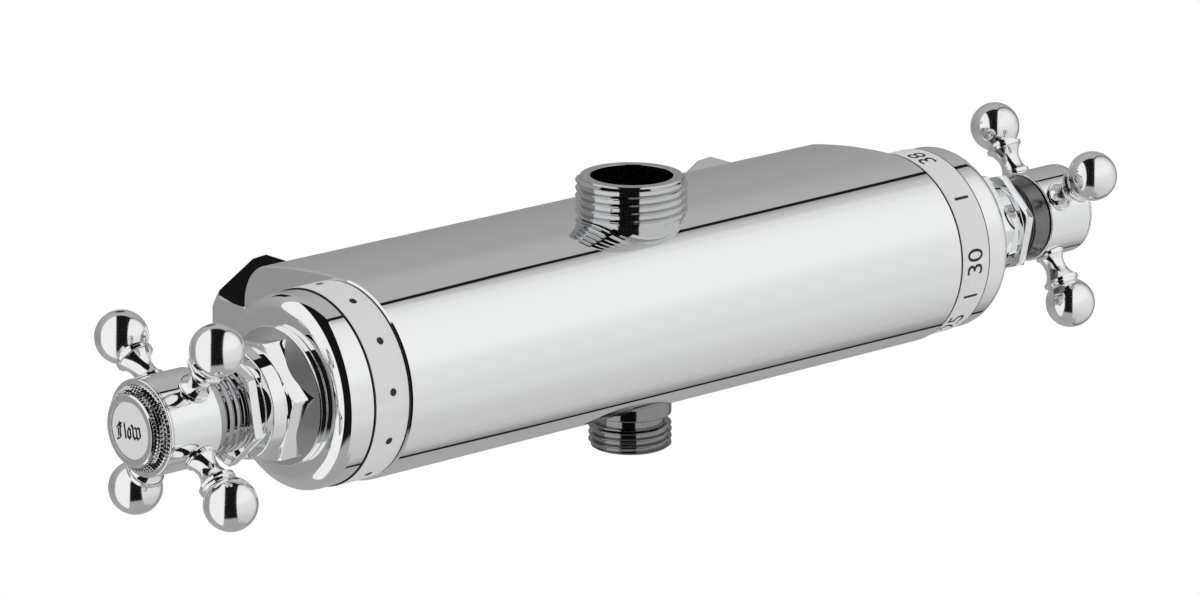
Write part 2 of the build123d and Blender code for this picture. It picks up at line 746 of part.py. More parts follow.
def build_regulator():
    """The pieces that slide together: regulating slide, wax element, carrier and its spring."""
    side = 1
    slide_start = temperature_floor + hot_seat_from_floor + control_gap
    slide_end = temperature_floor + cold_seat_from_floor - control_gap
    slide_outer = sleeve_bore_radius - running_clearance
    web_start = slide_start + slide_web_from_end
    web_end = web_start + slide_web_thickness
    wax_start = web_start - wax_body_length / 2
    wax_end = wax_start + wax_body_length
    neck_end = wax_end + wax_neck_length
    carrier_start = temperature_floor + cold_seat_from_floor + cold_seat_width + carrier_from_seat
    carrier_end = carrier_start + carrier_length
    carrier_bore = carrier_radius - carrier_wall
    cap_end = carrier_start + carrier_wall + piston_cap_thickness
    spring_end = carrier_end - carrier_end_thickness
    with BuildPart() as slide:
        tube(side, slide_start, slide_end, slide_outer, slide_outer - slide_wall)
        tube(side, web_start, web_end, slide_outer - slide_wall, wax_body_radius + seat_clearance)
        with BuildSketch(across(web_start)) as vents:
            with PolarLocations(slide_vent_circle, slide_vent_count):
                Circle(slide_vent_radius)
        extrude(vents.sketch, amount=slide_web_thickness, mode=Mode.SUBTRACT)
    save(slide, "temperature_slide")
    with BuildPart() as wax_element:
        tube(side, wax_start, wax_end, wax_body_radius)
        tube(side, wax_end, neck_end, wax_neck_radius)
        tube(side, neck_end, carrier_start + carrier_wall, wax_piston_radius)
    save(wax_element, "wax_element")
    with BuildPart() as carrier:
        tube(side, carrier_start, carrier_end, carrier_radius, wax_piston_radius + running_clearance)
        tube(side, carrier_start + carrier_wall, spring_end, carrier_bore, mode=Mode.SUBTRACT)
        tube(side, spring_end, carrier_end, screw_thread_radius, mode=Mode.SUBTRACT)
        lug_start = carrier_end - carrier_end_thickness
        with BuildSketch(across(lug_start)) as lugs:
            Rectangle(2 * carrier_lug_reach, carrier_lug_width)
            Circle(carrier_radius - carrier_wall / 2, mode=Mode.SUBTRACT)
        extrude(lugs.sketch, amount=carrier_end_thickness)
    save(carrier, "overload_carrier")
    with BuildPart() as piston_cap:
        tube(side, carrier_start + carrier_wall, cap_end, carrier_bore - running_clearance)
    save(piston_cap, "overload_piston_cap")
    with BuildPart() as spring:
        coil_radius = carrier_bore - overload_wire
        coil(across(cap_end), coil_radius, overload_wire, overload_turns, spring_end - cap_end)
    save(spring, "overload_spring")
    with BuildPart() as spring:
        length = web_start - temperature_floor
        coil(across(temperature_floor), return_coil_radius, return_wire, return_turns, length)
    save(spring, "return_spring")


def build_temperature_spindle():
    """The spindle whose screw moves the carrier, and the gland that holds its collar."""
    side = 1
    travel = temperature_thread_pitch * temperature_turn_degrees / 360
    recess_end = bonnet_inner + gland_recess_depth
    collar_begin = recess_end - spindle_collar_length - running_clearance
    carrier_start = temperature_floor + cold_seat_from_floor + cold_seat_width + carrier_from_seat
    screw_tip = carrier_start + carrier_length - carrier_end_thickness - travel
    shaft_bore = spindle_radius + running_clearance
    neck = bonnet_bore_radius - pocket_clearance
    with BuildPart() as gland:
        tube(side, bonnet_inner, bonnet_bore_end, neck, shaft_bore)
        recess = spindle_collar_radius + running_clearance
        tube(side, bonnet_inner, recess_end, recess, mode=Mode.SUBTRACT)
    save(gland, "temperature_gland")
    with BuildPart() as spindle:
        collar_stop = collar_begin + spindle_collar_length
        tube(side, screw_tip, collar_begin, screw_thread_radius - running_clearance)
        tube(side, collar_begin, collar_stop, spindle_collar_radius)
        add_spindle(side, collar_stop, spindle_radius, nose_end)
        cut_spindle_grooves(side)
    save(spindle, "temperature_spindle")
    build_spindle_o_rings("temperature", side)


def turn_upright(up, *outline, mode=Mode.ADD):
    """Revolve a closed outline of (radius, height) points about the outlets' axis."""
    upright = Plane(origin=(0, bar_y, 0), x_dir=(1, 0, 0), z_dir=(0, -up, 0))
    with BuildSketch(upright) as profile:
        with BuildLine():
            Polyline(*outline, close=True)
        make_face()
    revolve(profile.sketch, axis=Axis((0, bar_y, 0), (0, 0, 1)), mode=mode)


def add_outlet_groove(up, radius):
    """Cut the seal's groove in a nipple."""
    section = outlet_o_ring_section
    low = outlet_o_ring_height - section - seat_clearance
    high = outlet_o_ring_height + section + seat_clearance
    floor = radius - 2 * section
    turn_upright(up, (floor, low), (floor, high), (radius, high), (radius, low), mode=Mode.SUBTRACT)


def build_outlet_seal(name, up, radius):
    """The seal between a nipple and the body."""
    section = outlet_o_ring_section
    upright = Plane(origin=(0, bar_y, 0), x_dir=(1, 0, 0), z_dir=(0, -up, 0))
    with BuildPart() as seal:
        with BuildSketch(upright) as profile:
            with Locations((radius - section + seat_clearance / 2, outlet_o_ring_height)):
                Circle(section - seat_clearance)
        revolve(profile.sketch, axis=Axis((0, bar_y, 0), (0, 0, 1)))
    save(seal, f"{name}_outlet_o_ring")


def build_top_outlet():
    """The upper nipple, with the riser's thread."""
    thread_start = top_outlet_height - top_outlet_thread_length
    with BuildPart() as nipple:
        turn_upright(
            1,
            (top_outlet_bore_radius, nipple_seat_height),
            (top_outlet_neck_radius, nipple_seat_height),
            (top_outlet_neck_radius, thread_start),
            (top_outlet_thread_radius, thread_start + thread_chamfer),
            (top_outlet_thread_radius, top_outlet_height - thread_chamfer),
            (top_outlet_thread_radius - thread_chamfer, top_outlet_height),
            (top_outlet_bore_radius, top_outlet_height),
        )
        add_outlet_groove(1, top_outlet_neck_radius)
    save(nipple, "top_outlet")
    build_outlet_seal("top", 1, top_outlet_neck_radius)


def build_bottom_outlet():
    """The lower nipple, with its boss and the hose's thread."""
    boss_end = front_radius + bottom_outlet_boss_height
    thread_start = bottom_outlet_height - bottom_outlet_thread_length
    with BuildPart() as nipple:
        turn_upright(
            -1,
            (bottom_outlet_bore_radius, nipple_seat_height),
            (bottom_outlet_boss_radius, nipple_seat_height),
            (bottom_outlet_boss_radius, boss_end - thread_chamfer / 2),
            (bottom_outlet_boss_radius - thread_chamfer / 2, boss_end),
            (bottom_outlet_neck_radius, boss_end),
            (bottom_outlet_neck_radius, thread_start),
            (bottom_outlet_thread_radius, thread_start + thread_chamfer / 2),
            (bottom_outlet_thread_radius, bottom_outlet_height - thread_chamfer),
            (bottom_outlet_thread_radius - thread_chamfer, bottom_outlet_height),
            (bottom_outlet_bore_radius, bottom_outlet_height),
        )
        add_outlet_groove(-1, bottom_outlet_boss_radius)
    save(nipple, "bottom_outlet")
    build_outlet_seal("bottom", -1, bottom_outlet_boss_radius)


def turn_inlet(side, *outline, mode=Mode.ADD):
    """Revolve a closed outline of (depth from the wall plane, radius) points about an inlet's axis."""
    place = (side * inlet_centres / 2, 0, 0)
    inlet = Plane(origin=place, x_dir=(0, -1, 0), z_dir=(-1, 0, 0))
    with BuildSketch(inlet) as profile:
        with BuildLine():
            Polyline(*outline, close=True)
        make_face()
    revolve(profile.sketch, axis=Axis(place, (0, 1, 0)), mode=mode)


def inlet_tube(side, start, end, outer, inner=0.0, mode=Mode.ADD):
    """Revolve a plain cylinder or tube between two depths on an inlet's axis."""
    turn_inlet(side, (start, inner), (start, outer), (end, outer), (end, inner), mode=mode)


def inlet_plane(side, depth):
    """Plane square to an inlet's axis, facing into the body, at a depth from the wall plane."""
    return Plane(origin=(side * inlet_centres / 2, -depth, 0), x_dir=(1, 0, 0), z_dir=(0, -1, 0))


def build_union_nut(name, side):
    """The loose nut that draws the mixer to its wall connection."""
    corner = union_across_flats / 2 / cos(radians(30))
    with BuildPart() as nut:
        with BuildSketch(inlet_plane(side, 0)) as outline:
            RegularPolygon(union_across_flats / 2, 6, major_radius=False, rotation=30)
        extrude(outline.sketch, amount=union_length)
        turn_inlet(
            side,
            (0, 0),
            (0, corner - union_chamfer),
            (union_chamfer, corner),
            (union_length - union_chamfer, corner),
            (union_length, corner - union_chamfer),
            (union_length, 0),
            mode=Mode.INTERSECT,
        )
        inlet_tube(side, 0, union_thread_length, union_thread_bore_radius, mode=Mode.SUBTRACT)
        inlet_tube(side, union_thread_length, union_shoulder, union_recess_radius, mode=Mode.SUBTRACT)
        inlet_tube(side, 0, union_length, tail_radius + running_clearance, mode=Mode.SUBTRACT)
    save(nut, f"{name}_union_nut")


def build_inlet_tail(name, side):
    """The tail screwed into the body, whose collar holds the union nut."""
    cavity_end = tail_mouth + tail_cavity_depth
    with BuildPart() as tail:
        inlet_tube(side, tail_mouth, union_shoulder - running_clearance, tail_collar_radius)
        inlet_tube(side, tail_mouth, tail_root, tail_radius)
        inlet_tube(side, tail_mouth, cavity_end, tail_bore_radius, mode=Mode.SUBTRACT)
        inlet_tube(side, cavity_end, tail_root, check_bore_radius, mode=Mode.SUBTRACT)
    save(tail, f"{name}_inlet_tail")
    with BuildPart() as washer:
        inlet_tube(side, union_thread_length, tail_mouth, tail_collar_radius, washer_bore_radius)
    save(washer, f"{name}_inlet_washer")


def build_check_valve(name, side):
    """The check valve in the tail: body with a ribbed guide, sprung poppet and its spring."""
    start = tail_mouth
    end = start + check_body_length
    seat_end = start + check_seat_length
    guide_start = end - guide_thickness
    stem_bore = poppet_stem_radius + running_clearance
    with BuildPart() as valve_body:
        inlet_tube(side, start, seat_end, check_body_radius, check_seat_radius)
        inlet_tube(side, seat_end, end, check_body_radius, check_bore_radius)
        with BuildSketch(inlet_plane(side, guide_start)) as guide:
            Circle(guide_radius)
            with PolarLocations((guide_radius + check_bore_radius) / 2, guide_rib_count):
                Rectangle(check_bore_radius - guide_radius + 1, guide_rib_width)
            Circle(stem_bore, mode=Mode.SUBTRACT)
        extrude(guide.sketch, amount=guide_thickness)
    save(valve_body, f"{name}_check_valve_body")
    with BuildPart() as poppet:
        inlet_tube(side, seat_end, seat_end + poppet_thickness, poppet_radius)
        inlet_tube(side, seat_end + poppet_thickness, end, poppet_stem_radius)
    save(poppet, f"{name}_check_valve_poppet")
    with BuildPart() as spring:
        spring_start = seat_end + poppet_thickness
        length = guide_start - spring_start
        wire_radius = guide_radius - check_wire / 2
        coil(inlet_plane(side, spring_start), wire_radius, check_wire, check_turns, length)
    save(spring, f"{name}_check_valve_spring")


def main():
    """Build every piece and write its file."""
    os.makedirs("parts", exist_ok=True)
    build_body()
    for name, side, arm_angle, nut_angle in ends:
        build_ring(name, side)
        build_end_cap(name, side)
        build_bonnet(name, side)
        build_lock_nut(name, side, nut_angle)
        build_stop_collar(name, side)
        build_handle(name, side, arm_angle)
    build_flow_cartridge()
    build_sleeve()
    build_regulator()
    build_temperature_spindle()
    build_top_outlet()
    build_bottom_outlet()
    for name, side in inlets:
        build_union_nut(name, side)
        build_inlet_tail(name, side)
        build_check_valve(name, side)


main()
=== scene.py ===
"""Looks of a wall-mounted bar shower mixer with two cross handles.

Every length is in metres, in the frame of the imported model: the bar runs along X with the flow
handle at -X, +Y points into the wall and +Z is up. The origin lies midway between the two wall
connections, in the plane of the open ends of the union nuts.
"""

import json
import logging
import math
from collections.abc import Callable
from dataclasses import dataclass, field
from enum import Enum

import bmesh
import bpy
from mathutils import Matrix, Vector


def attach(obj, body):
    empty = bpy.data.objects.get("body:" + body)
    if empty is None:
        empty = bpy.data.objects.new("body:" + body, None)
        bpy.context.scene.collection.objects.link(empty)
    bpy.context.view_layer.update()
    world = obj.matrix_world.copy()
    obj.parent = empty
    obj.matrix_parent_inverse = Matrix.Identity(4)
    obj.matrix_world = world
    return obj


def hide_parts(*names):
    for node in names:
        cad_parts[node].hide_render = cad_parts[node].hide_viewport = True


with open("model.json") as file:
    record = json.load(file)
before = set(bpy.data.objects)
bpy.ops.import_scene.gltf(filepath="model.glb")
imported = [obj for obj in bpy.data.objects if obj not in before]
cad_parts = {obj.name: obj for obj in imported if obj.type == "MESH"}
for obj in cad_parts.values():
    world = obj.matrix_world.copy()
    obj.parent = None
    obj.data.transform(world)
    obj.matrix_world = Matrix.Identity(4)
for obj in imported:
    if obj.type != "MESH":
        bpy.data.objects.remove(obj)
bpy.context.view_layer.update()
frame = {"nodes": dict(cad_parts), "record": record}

LOG = logging.getLogger("shower_mixer")

Piece = bpy.types.Object
Material = bpy.types.Material
Tree = bpy.types.NodeTree
Socket = bpy.types.NodeSocket
Outline = list[tuple[float, float]]  # places along an axis with their radii, in millimetres
Triple = tuple[float, float, float]

MM = 0.001
BAR_Y = -54.0 * MM
BAR_POINT = Vector((0.0, BAR_Y, 0.0))
ALONG_BAR = Vector((1.0, 0.0, 0.0))
TO_FRONT = Vector((0.0, -1.0, 0.0))
UPWARDS = Vector((0.0, 0.0, 1.0))
SHARP_ANGLE = math.radians(34.0)
WHITE_LIGHT = (1.0, 1.0, 1.0, 1.0)
# Share of a thread's pitch between its crest and its root.
THREAD_DEPTH_SHARE = 0.42


class Side(Enum):
    """One of two like places, with the sign of its X."""

    @property
    def title(self) -> str:
        """Name used for pieces and CAD nodes."""
        return self.name.lower()


class End(Side):
    """The two ends of the bar."""

    FLOW = -1
    TEMPERATURE = 1


class Inlet(Side):
    """The two wall connections."""

    HOT = -1
    COLD = 1


# ---------------------------------------------------------------------------------------------
# Colour and node helpers


def linear(code: str) -> tuple[float, float, float, float]:
    """Turn an sRGB hex code into a linear colour.

    Args:
        code: six hex digits after a hash.

    Returns:
        Red, green, blue and an alpha of one.
    """
    parts = []
    for start in (1, 3, 5):
        value = int(code[start : start + 2], 16) / 255
        parts.append(value / 12.92 if value <= 0.04045 else ((value + 0.055) / 1.055) ** 2.4)
    return (parts[0], parts[1], parts[2], 1.0)


def add_node(tree: Tree, kind: str, settings: dict | None = None, links: dict | None = None) -> bpy.types.Node:
    """Add a node with its settings and links.

    Args:
        tree: the node tree that gets the node.
        kind: the node's type name.
        settings: attribute names, or input names or numbers, with their values.
        links: input names or numbers, each with the output socket that feeds it.

    Returns:
        The new node.
    """
    node = tree.nodes.new(kind)
    for name, value in (settings or {}).items():
        if isinstance(name, str) and hasattr(node, name):
            setattr(node, name, value)
        else:
            node.inputs[name].default_value = value
    for name, socket in (links or {}).items():
        tree.links.new(socket, node.inputs[name])
    return node


def empty_material(name: str) -> tuple[Material, Tree]:
    """Make a material whose node tree holds nothing.

    Args:
        name: the material's name.

    Returns:
        The material and its node tree.
    """
    material = bpy.data.materials.new(name)
    material.use_nodes = True
    material.node_tree.nodes.clear()
    return material, material.node_tree


def for_rays(tree: Tree, kinds: tuple[str, ...], shown: bpy.types.Node, rest: bpy.types.Node) -> Socket:
    """Mix two shaders by the kind of ray that meets them.

    Args:
        tree: the node tree of the material or world.
        kinds: names of the light path outputs that get the shown shader.
        shown: the shader for those rays.
        rest: the shader for all other rays.

    Returns:
        The mixed shader's socket.
    """
    rays = add_node(tree, "ShaderNodeLightPath")
    share = rays.outputs[kinds[0]]
    for kind in kinds[1:]:
        either = add_node(tree, "ShaderNodeMath", {"operation": "MAXIMUM"}, {0: share, 1: rays.outputs[kind]})
        share = either.outputs[0]
    mixed = add_node(tree, "ShaderNodeMixShader", {}, {0: share, 1: rest.outputs[0], 2: shown.outputs[0]})
    return mixed.outputs[0]


# ---------------------------------------------------------------------------------------------
# Finishes


@dataclass(frozen=True)
class Finish:
    """What every finish has: a name, an sRGB colour and a roughness, with marks from one noise."""

    name: str
    colour: str
    roughness: float

    def material(self) -> Material:
        """Build the node material once and give it back on later calls."""
        known = bpy.data.materials.get(self.name)
        if known:
            return known
        material, tree = empty_material(self.name)
        surface = self.surface(tree, add_node(tree, "ShaderNodeTexCoord").outputs["Object"])
        add_node(tree, "ShaderNodeOutputMaterial", {}, {"Surface": surface.outputs[0]})
        return material

    def tones(self, tree: Tree, noise: bpy.types.Node, shade: float, low: float) -> Socket:
        """Let the noise darken the colour.

        Args:
            tree: the material's node tree.
            noise: the noise node.
            shade: how much darker the dark places are.
            low: noise value of the darkest places; the palest lie as far above the middle.

        Returns:
            The colour socket.
        """
        dark = tuple(part * (1.0 - shade) for part in linear(self.colour)[:3]) + (1.0,)
        ramp = add_node(tree, "ShaderNodeValToRGB", {}, {"Fac": noise.outputs["Fac"]})
        for stop, place, colour in zip(ramp.color_ramp.elements, (low, 1.0 - low), (dark, linear(self.colour))):
            stop.position = place
            stop.color = colour
        return ramp.outputs[0]

    @staticmethod
    def relief(tree: Tree, noise: bpy.types.Node, height_mm: float, strength: float) -> Socket:
        """Let the noise raise the surface.

        Args:
            tree: the material's node tree.
            noise: the noise node.
            height_mm: the relief's height in millimetres.
            strength: how much of it is felt.

        Returns:
            The normal socket.
        """
        settings = {"Strength": strength, "Distance": height_mm * MM}
        return add_node(tree, "ShaderNodeBump", settings, {"Height": noise.outputs["Fac"]}).outputs[0]


@dataclass(frozen=True)
class Metal(Finish):
    """A bare or plated metal: base colour, polish and fine surface marks.

    The marks are a noise stretched by grain: equal numbers give an even grain, a large number on
    one axis draws it out square to that axis, as brushing or turning does.
    """

    roughness_spread: float = 0.02
    grain_mm: float = 6.0
    grain: Triple = (1.0, 1.0, 1.0)
    relief_mm: float = 0.0
    shade: float = 0.0
    metallic: float = 1.0

    def surface(self, tree: Tree, place: Socket) -> bpy.types.Node:
        """Make the shader.

        Args:
            tree: the material's node tree.
            place: the socket with the place on the piece.

        Returns:
            The shader node.
        """
        scale = tuple(part / (self.grain_mm * MM) for part in self.grain)
        drawn = add_node(tree, "ShaderNodeMapping", {"Scale": scale}, {"Vector": place})
        marks = {"Scale": 1.0, "Detail": 3.0, "Roughness": 0.55}
        noise = add_node(tree, "ShaderNodeTexNoise", marks, {"Vector": drawn.outputs[0]})
        spread = {
            "From Min": 0.3,
            "From Max": 0.7,
            "To Min": max(self.roughness - self.roughness_spread, 0.0),
            "To Max": self.roughness + self.roughness_spread,
        }
        polish = add_node(tree, "ShaderNodeMapRange", spread, {"Value": noise.outputs["Fac"]})
        links = {"Roughness": polish.outputs[0]}
        if self.shade:
            links["Base Color"] = self.tones(tree, noise, self.shade, 0.35)
        if self.relief_mm:
            links["Normal"] = self.relief(tree, noise, self.relief_mm, 1.0)
        settings = {"Base Color": linear(self.colour), "Metallic": self.metallic}
        return add_node(tree, "ShaderNodeBsdfPrincipled", settings, links)


@dataclass(frozen=True)
class Moulded(Finish):
    """A non-metal: colour with a faint mottle, gloss and a fine relief."""

    ior: float = 1.5
    mottle: float = 0.06
    grain_mm: float = 1.5
    relief_mm: float = 0.004
    coat: float = 0.0

    def surface(self, tree: Tree, place: Socket) -> bpy.types.Node:
        """Make the shader.

        Args:
            tree: the material's node tree.
            place: the socket with the place on the piece.

        Returns:
            The shader node.
        """
        marks = {"Scale": 1.0 / (self.grain_mm * MM), "Detail": 4.0, "Roughness": 0.6}
        noise = add_node(tree, "ShaderNodeTexNoise", marks, {"Vector": place})
        links = {
            "Base Color": self.tones(tree, noise, self.mottle, 0.3),
            "Normal": self.relief(tree, noise, self.relief_mm, 0.6),
        }
        gloss = {"Roughness": self.roughness, "IOR": self.ior, "Coat Weight": self.coat, "Coat Roughness": 0.03}
        return add_node(tree, "ShaderNodeBsdfPrincipled", gloss, links)


# Bright chromium plate on cast and buffed brass: mirror-like, cool and very even, with only a
# trace of the buffing wheel's waves in it.
POLISHED_CHROME = Metal("polished_chromium_plate", "#F3F4F5", 0.018, 0.008, 9.0)
# The same plate buffed by hand on the small turned arms: their reflections have softer edges.
BUFFED_CHROME = Metal("hand_buffed_chromium_plate", "#F3F4F5", 0.11, 0.01, 9.0)
# The same plate over turned threads and bores, which keep the tool's fine lines and look darker.
TURNED_CHROME = Metal("turned_chromium_plate", "#D0D1D2", 0.07, 0.03, 1.2, (0.3, 0.3, 9.0), 0.0004, 0.1)
# Plated brass of the hose outlet, in a darker copy of the turned plate: the darker colour is painted shade, so
# the lower outlet renders darker than the riser outlet, which mirrors the same tent.
SHADED_TURNED_CHROME = Metal("shaded_turned_chromium_plate", "#97989A", 0.09, 0.03, 1.2, (0.3, 0.3, 9.0), 0.0004, 0.1)
# The same left dull by the turning tool in the hollow between the bonnet's hexagon and its flange.
AS_TURNED_CHROME = Metal("as_turned_chromium_plate", "#C4C5C7", 0.5, 0.05, 1.2, (9.0, 0.3, 0.3), 0.001, 0.1)
# Bead-blasted then plated: the light spreads wide, so the bands stay pale all the way round.
SATIN_CHROME = Metal(
    "satin_chromium_plate", "#EFEFEF", 0.75, 0.04, 0.5, relief_mm=0.0008, shade=0.04, metallic=0.35
)
# Polished nickel plate, a little dark, on the grooved collar behind the flow handle.
DARK_NICKEL = Metal("dark_nickel_plate", "#A9AAAC", 0.05, 0.03, 3.0)
# Brushed grey-nickel plate on the plain collar behind the temperature handle.
GREY_NICKEL = Metal("grey_nickel_plate", "#808183", 0.24, 0.06, 1.0, (9.0, 0.3, 0.3), 0.0008, 0.2)
# Bare turned brass of the parts inside the valve: warm, with lines from the lathe.
TURNED_BRASS = Metal("turned_brass", "#C9A66B", 0.26, 0.06, 0.8, (9.0, 0.3, 0.3), 0.002, 0.12)
# Drawn stainless spring wire: grey, with die lines.
SPRING_STEEL = Metal("drawn_spring_steel", "#A9ABAE", 0.3, 0.06, 0.6, relief_mm=0.001, shade=0.15)
# Drawn copper shell of the wax element.
DRAWN_COPPER = Metal("drawn_copper", "#C28059", 0.3, 0.06, 0.8, (0.3, 9.0, 9.0), 0.001, 0.12)
# Fired vitreous enamel of the two index discs: glassy, slightly warm white.
VITREOUS_ENAMEL = Moulded("vitreous_enamel", "#EEEFEF", 0.12, 1.5, 0.03, 3.0, 0.002, 0.5)
# Black stoving paint wiped into engraved marks: dull and nearly black.
ENGRAVING_PAINT = Moulded("black_engraving_paint", "#0A0A0A", 0.45, 1.5, 0.2, 0.4, 0.003)
# Lapped alumina discs: dense off-white ceramic.
LAPPED_CERAMIC = Moulded("lapped_alumina", "#E9E4DA", 0.18, 1.7, 0.05, 0.8, 0.001)
# Moulded EPDM seals: black and slightly dusty.
SEAL_RUBBER = Moulded("moulded_epdm", "#1B1B1C", 0.6, 1.5, 0.3, 0.6, 0.008)
# Moulded acetal of the slide and the check valves: milky and waxy.
MOULDED_ACETAL = Moulded("moulded_acetal", "#E4E2DB", 0.38, 1.48, 0.06, 2.0, 0.003)


# ---------------------------------------------------------------------------------------------
# Modelling helpers


def start_clean() -> None:
    """Leave edit mode and take every object out of the selection."""
    if bpy.context.object and bpy.context.object.mode != "OBJECT":
        bpy.ops.object.mode_set(mode="OBJECT")
    bpy.ops.object.select_all(action="DESELECT")


def pick(*objects: Piece) -> None:
    """Select these objects alone and make the first one active."""
    start_clean()
    for piece in objects:
        piece.select_set(True)
    bpy.context.view_layer.objects.active = objects[0]


def edit(piece: Piece) -> None:
    """Enter edit mode on one object with everything selected."""
    pick(piece)
    bpy.ops.object.mode_set(mode="EDIT")
    bpy.ops.mesh.select_mode(type="VERT")
    bpy.ops.mesh.select_all(action="SELECT")


def select_where(piece: Piece, kind: str, test: Callable[..., bool]) -> None:
    """Select edges or faces of the mesh in edit mode by a test on their place or normal.

    Args:
        piece: the object in edit mode.
        kind: "EDGE" or "FACE".
        test: called with each bmesh element, true to select it.
    """
    bpy.ops.mesh.select_all(action="DESELECT")
    bpy.ops.mesh.select_mode(type=kind)
    mesh = bmesh.from_edit_mesh(piece.data)
    for element in mesh.edges if kind == "EDGE" else mesh.faces:
        if test(element):
            element.select_set(True)
    mesh.select_flush_mode()
    bmesh.update_edit_mesh(piece.data)


def select_open_edges() -> None:
    """Select the edges that bound the open sides of the mesh in edit mode."""
    bpy.ops.mesh.select_all(action="DESELECT")
    bpy.ops.mesh.select_mode(type="EDGE")
    bpy.ops.mesh.select_non_manifold()


def named(name: str) -> Piece:
    """Give the object just made its name, and its mesh the same one.

    Args:
        name: the piece's name.

    Returns:
        The object.
    """
    piece = bpy.context.object
    piece.name = name
    piece.data.name = name
    return piece


def around_bar(degrees: float) -> Vector:
    """Direction square to the bar at an angle about +X, from +Y towards +Z."""
    angle = math.radians(degrees)
    return Vector((0.0, math.cos(angle), math.sin(angle)))


def frame_of(side: Vector, over: Vector, ahead: Vector, place: Vector) -> Matrix:
    """Matrix that turns X, Y and Z to three directions and moves the origin to a place."""
    move = Matrix((side, over, ahead)).transposed().to_4x4()
    move.translation = place
    return move


def point_at(name: str, place: Vector) -> Piece:
    """Start a mesh from a plane that is merged into one point, and stay in edit mode.

    Args:
        name: the new object's name.
        place: where the point lies.

    Returns:
        The new object, in edit mode with its point selected.
    """
    start_clean()
    bpy.ops.mesh.primitive_plane_add(size=MM, location=(0.0, 0.0, 0.0))
    piece = named(name)
    edit(piece)
    bpy.ops.mesh.merge(type="CENTER")
    bpy.ops.transform.translate(value=place)
    return piece


def draw_line(points: list[Vector], first: Vector) -> None:
    """Extrude the selected point through a row of places.

    Args:
        points: the places to reach in turn.
        first: where the selected point is now.
    """
    here = first
    for point in points:
        bpy.ops.mesh.extrude_region_move(TRANSFORM_OT_translate={"value": point - here})
        here = point


def tidy_shell() -> None:
    """Merge doubles and point every face outwards, in edit mode."""
    bpy.ops.mesh.select_all(action="SELECT")
    bpy.ops.mesh.remove_doubles(threshold=0.002 * MM)
    bpy.ops.mesh.normals_make_consistent(inside=False)


def finish_mesh(piece: Piece, angle: float = SHARP_ANGLE) -> Piece:
    """Put the object at the origin with its place in its mesh and shade it smooth by angle."""
    pick(piece)
    bpy.ops.object.transform_apply(location=True, rotation=True, scale=True)
    bpy.ops.object.shade_smooth_by_angle(angle=angle)
    start_clean()
    return piece


def apply_modifier(piece: Piece, kind: str, **settings) -> None:
    """Add a modifier with its settings and apply it.

    Args:
        piece: the object to change.
        kind: the modifier's type name.
        settings: the modifier's attributes.
    """
    pick(piece)
    modifier = piece.modifiers.new(kind.lower(), kind)
    for name, value in settings.items():
        setattr(modifier, name, value)
    bpy.ops.object.modifier_apply(modifier=modifier.name)


def carve(piece: Piece, tool: Piece, operation: str) -> None:
    """Cut or trim a piece with a tool, and remove the tool."""
    apply_modifier(piece, "BOOLEAN", object=tool, operation=operation, solver="EXACT")
    bpy.data.objects.remove(tool, do_unlink=True)


def join(main: Piece, *others: Piece) -> Piece:
    """Join pieces into the first one."""
    pick(main, *others)
    bpy.ops.object.join()
    start_clean()
    return main


def copy_of(piece: Piece, name: str, move: Matrix) -> Piece:
    """Copy a piece with a mesh of its own, moved by a matrix.

    Args:
        piece: the piece to copy.
        name: the copy's name.
        move: a turn and a shift from the first one's place.

    Returns:
        The copy, at the origin with its place in its mesh.
    """
    pick(piece)
    bpy.ops.object.duplicate(linked=False)
    double = named(name)
    double.data.transform(move)
    return double


def dress(piece: Piece, finish: Finish, body: str, slot: str, *nodes: str) -> None:
    """Give a piece its finish, its body and the CAD nodes it stands for, and report it.

    Args:
        piece: the finished piece.
        finish: the finish that it gets all over.
        body: the CAD body that it rides on.
        slot: the record's material slot; not used.
        nodes: the CAD nodes that it replaces.
    """
    piece.data.materials.clear()
    piece.data.materials.append(finish.material())
    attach(piece, body)
    if nodes:
        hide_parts(*nodes)
    LOG.info("%s: %d faces, rides on %s", piece.name, len(piece.data.polygons), body)


def reflect_only(piece: Piece, material: Material) -> None:
    """Make a piece part of the studio that shows in reflections only.

    Args:
        piece: the studio piece.
        material: its material.
    """
    piece.data.materials.append(material)
    piece.visible_camera = False
    piece.visible_diffuse = False
    piece.visible_shadow = False
    piece.visible_transmission = False
    LOG.info("%s: %d faces", piece.name, len(piece.data.polygons))


@dataclass(frozen=True)
class Corner:
    """A corner of a turned outline, in millimetres: place along the axis, radius, and rounding."""

    along: float
    radius: float
    rounding: float = 0.0


def rounded_outline(corners: list[Corner], steps: int = 5, hold: float = 0.06) -> Outline:
    """Round the corners of an open outline and add a holding point beside each rounding.

    The holding points keep the wide faces flat where the mesh is shaded smooth.

    Args:
        corners: the outline's corners in order.
        steps: pieces in each rounding.
        hold: distance of the holding points from a rounding, in millimetres.

    Returns:
        Points as (along, radius) in millimetres.
    """
    points: list[Vector] = []
    for index, corner in enumerate(corners):
        here = Vector((corner.along, corner.radius))
        if corner.rounding <= 0 or index in (0, len(corners) - 1):
            points.append(here)
            continue
        before = Vector((corners[index - 1].along, corners[index - 1].radius)) - here
        after = Vector((corners[index + 1].along, corners[index + 1].radius)) - here
        turn = before.angle(after)
        reach = corner.rounding / math.tan(turn / 2)
        first, last = here + before.normalized() * reach, here + after.normalized() * reach
        middle = here + (before.normalized() + after.normalized()).normalized() * (
            corner.rounding / math.sin(turn / 2)
        )
        points.append(first + before.normalized() * hold)
        start = first - middle
        sweep = start.angle_signed(last - middle)
        for step in range(steps + 1):
            bend = Matrix.Rotation(-sweep * step / steps, 2)
            points.append(middle + bend @ start)
        points.append(last + after.normalized() * hold)
    return [(point.x, point.y) for point in points]


